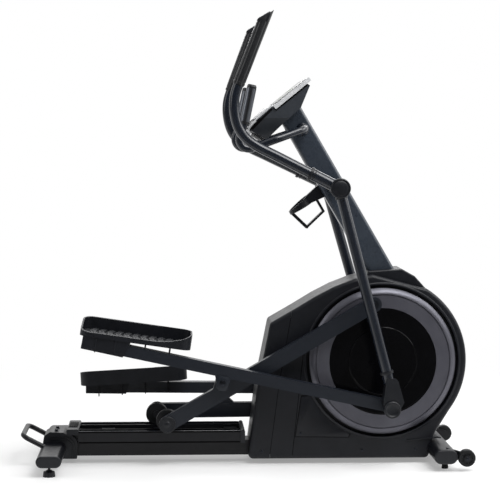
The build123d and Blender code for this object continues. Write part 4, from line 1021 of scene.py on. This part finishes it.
for side in SIDES:
    bm = bmesh.new()
    for line in PANEL_LINES:
        plate(bm, line, FLANK - 0.001, FLANK + 0.0003)
    plate(bm, seam_line, FLANK - 0.001, FLANK + 0.0004)
    lines = piece(f"{side}_panel_lines", bm, seam_and_shadow_dark, "frame", 0.0, None, side)
    bm = bmesh.new()
    plate(bm, cover_line, FLANK - 0.002, FLANK + 0.0016)
    cover = piece(f"{side}_access_cover", bm, housing_plastic, "frame", 0.0013, None, side)
    bm = bmesh.new()
    turned(bm, CRANK, LIP_PROFILE, 128)
    lip = piece(f"{side}_pocket_lip", bm, housing_plastic, "frame", 0.0, None, side)
    bm = bmesh.new()
    for spot in SCREW_SPOTS:
        turned(bm, spot, SCREW_PROFILE, 28)
    screws = piece(f"{side}_housing_screws", bm, dark_bolt, "frame", 0.0, None, side)
    print(lines.name, cover.name, lip.name, screws.name)

# %% [markdown]
# In front the housing ends in a thin skirt that reaches over the front stabilizer and hides the joint.
# It is one bent plate, drawn in side view and pulled across the machine, which keeps its bend even.

# %% Front skirt
SKIRT_LINE = (
    (0.623, 0.0885), (0.74, 0.0985), (0.757, 0.0975), (0.757, 0.1015), (0.742, 0.1035), (0.623, 0.0925),
)
bm = bmesh.new()
plate(bm, SKIRT_LINE, -0.1, 0.1)
skirt = piece("front_skirt", bm, trim_plastic, "frame", 0.0015)
print(skirt.name, len(skirt.data.polygons), "faces")

# %% [markdown]
# The transport wheels have a dished hub with ribs between the tyre and the axle, and a bolt in the middle.
# One rib is a small block; turning copies of it about the axle makes the set, which rides on the wheel.

# %% Wheel hubs
WHEEL = (0.828, 0.051)
WHEEL_RIBS = 6
RIB_X = (WHEEL[0] + 0.012, WHEEL[0] + 0.0235)
RIB_Y = (-0.2472, -0.2435)
RIB_Z = (WHEEL[1] - 0.0016, WHEEL[1] + 0.0016)
FIRST_RIB = 0.3
OUTER_TREAD = ((0.0318, 0.2405), (0.0327, 0.2395), (0.0327, 0.2375), (0.0318, 0.2365), (0.0318, 0.2405))
INNER_TREAD = ((0.0318, 0.2315), (0.0327, 0.2305), (0.0327, 0.2285), (0.0318, 0.2275), (0.0318, 0.2315))
for side in SIDES:
    bm = bmesh.new()
    for step in range(WHEEL_RIBS):
        rib = block(bm, RIB_X, RIB_Y, RIB_Z)
        turn = Matrix.Rotation(step * math.pi / 3 + FIRST_RIB, 3, "Y")
        bmesh.ops.rotate(bm, verts=rib, cent=(WHEEL[0], 0.0, WHEEL[1]), matrix=turn)
    turned(bm, WHEEL, OUTER_TREAD, 64)
    turned(bm, WHEEL, INNER_TREAD, 64)
    ribs = piece(f"{side}_wheel_ribs", bm, trim_plastic, f"{side}_wheel", 0.0005, None, side)
    bm = bmesh.new()
    hex_bolt(bm, WHEEL, 0.2535, 0.0056, 0.0045)
    bolt = piece(f"{side}_wheel_bolt", bm, dark_bolt, "frame", 0.0006, None, side)
    print(ribs.name, bolt.name)

# %% [markdown]
# At the rear a moulded sleeve covers the stabilizer joint. It is bolted down from above, and a raised
# double ridge turns down at its front corner. The ramp's rear stop has a ribbed rubber pad for the roller.
# The ridge follows a quarter turn, so a short section is spun through it and extruded at both ends.

# %% Rear sleeve and stop pad
SLEEVE_BOLT = Matrix.Translation((-0.7285, -0.027, 0.1225))
BOLT_HEAD = SLEEVE_BOLT @ Matrix.Translation((0.0, 0.0, 0.0036))
RIDGE_TURN = (-0.7, 0.0615)
RIDGE_SECTION = ((-0.002, 0.0575), (-0.0012, 0.0602), (0.0012, 0.0602), (0.002, 0.0575))
RIDGE_RADII = (0.034, 0.044)
RIDGE_TAIL = (-0.05, 0.0, 0.0)
RIDGE_LEG = (0.0, 0.0, -0.04)
PAD_RIBS = 4
for side in SIDES:
    bm = bmesh.new()
    bmesh.ops.create_cone(
        bm, cap_ends=True, segments=28, radius1=0.0098, radius2=0.0094, depth=0.0024, matrix=SLEEVE_BOLT,
    )
    bmesh.ops.create_cone(
        bm, cap_ends=True, segments=6, radius1=0.0072, radius2=0.0072, depth=0.0068, matrix=BOLT_HEAD,
    )
    bolt = piece(f"{side}_sleeve_bolt", bm, dark_bolt, "frame", 0.0007, None, side)
    bm = bmesh.new()
    for radius in RIDGE_RADII:
        verts = [bm.verts.new((RIDGE_TURN[0] + radius + r, -y, RIDGE_TURN[1])) for r, y in RIDGE_SECTION]
        edges = [bm.edges.new(pair) for pair in zip(verts, verts[1:])]
        made = bmesh.ops.spin(
            bm, geom=verts + edges, cent=(RIDGE_TURN[0], 0.0, RIDGE_TURN[1]), axis=(0.0, 1.0, 0.0),
            angle=-math.pi / 2, steps=14,
        )
        last = [g for g in made["geom_last"] if isinstance(g, bmesh.types.BMEdge)]
        tail = bmesh.ops.extrude_edge_only(bm, edges=last)
        bmesh.ops.translate(bm, verts=verts_of(tail), vec=RIDGE_TAIL)
        leg = bmesh.ops.extrude_edge_only(bm, edges=edges)
        bmesh.ops.translate(bm, verts=verts_of(leg), vec=RIDGE_LEG)
    bmesh.ops.holes_fill(bm, edges=bm.edges[:], sides=8)
    ridges = piece(f"{side}_sleeve_ridges", bm, trim_plastic, "frame", 0.0, None, side)
    print(bolt.name, ridges.name)
bm = bmesh.new()
block(bm, (-0.6805, -0.6455), (-0.05, 0.05), (0.1385, 0.1412))
for step in range(PAD_RIBS):
    x = -0.675 + 0.008 * step
    block(bm, (x - 0.0022, x + 0.0022), (-0.048, 0.048), (0.1405, 0.1432))
stop_pad = piece("stop_pad", bm, foot_rubber, "frame", 0.0009)
print(stop_pad.name, len(stop_pad.data.polygons), "faces")

# %% [markdown]
# The ramp's flanks have a folded lip along the top and a dark strip below it; a dark bar at the bottom is
# painted shadow for the gap between the ramp and the base tube.
# All are long thin bars laid on the rails, the simplest form that keeps clear of the roller's path.

# %% Ramp lips and strips
RAMP_X = (-0.6395, -0.0185)
for side in SIDES:
    bm = bmesh.new()
    block(bm, RAMP_X, (-0.0935, -0.0878), (0.1304, 0.1326))
    lip = piece(f"{side}_ramp_lip", bm, charcoal_paint, "frame", 0.0012, None, side)
    bm = bmesh.new()
    block(bm, RAMP_X, (-0.0929, -0.0915), (0.1255, 0.1298))
    # Painted shadow: this low dark bar stands for the shade in the gap between the ramp and the base tube.
    block(bm, RAMP_X, (-0.0926, -0.087), (0.0855, 0.0912))
    strip = piece(f"{side}_ramp_strip", bm, seam_and_shadow_dark, "frame", 0.0005, None, side)
    print(lip.name, strip.name)
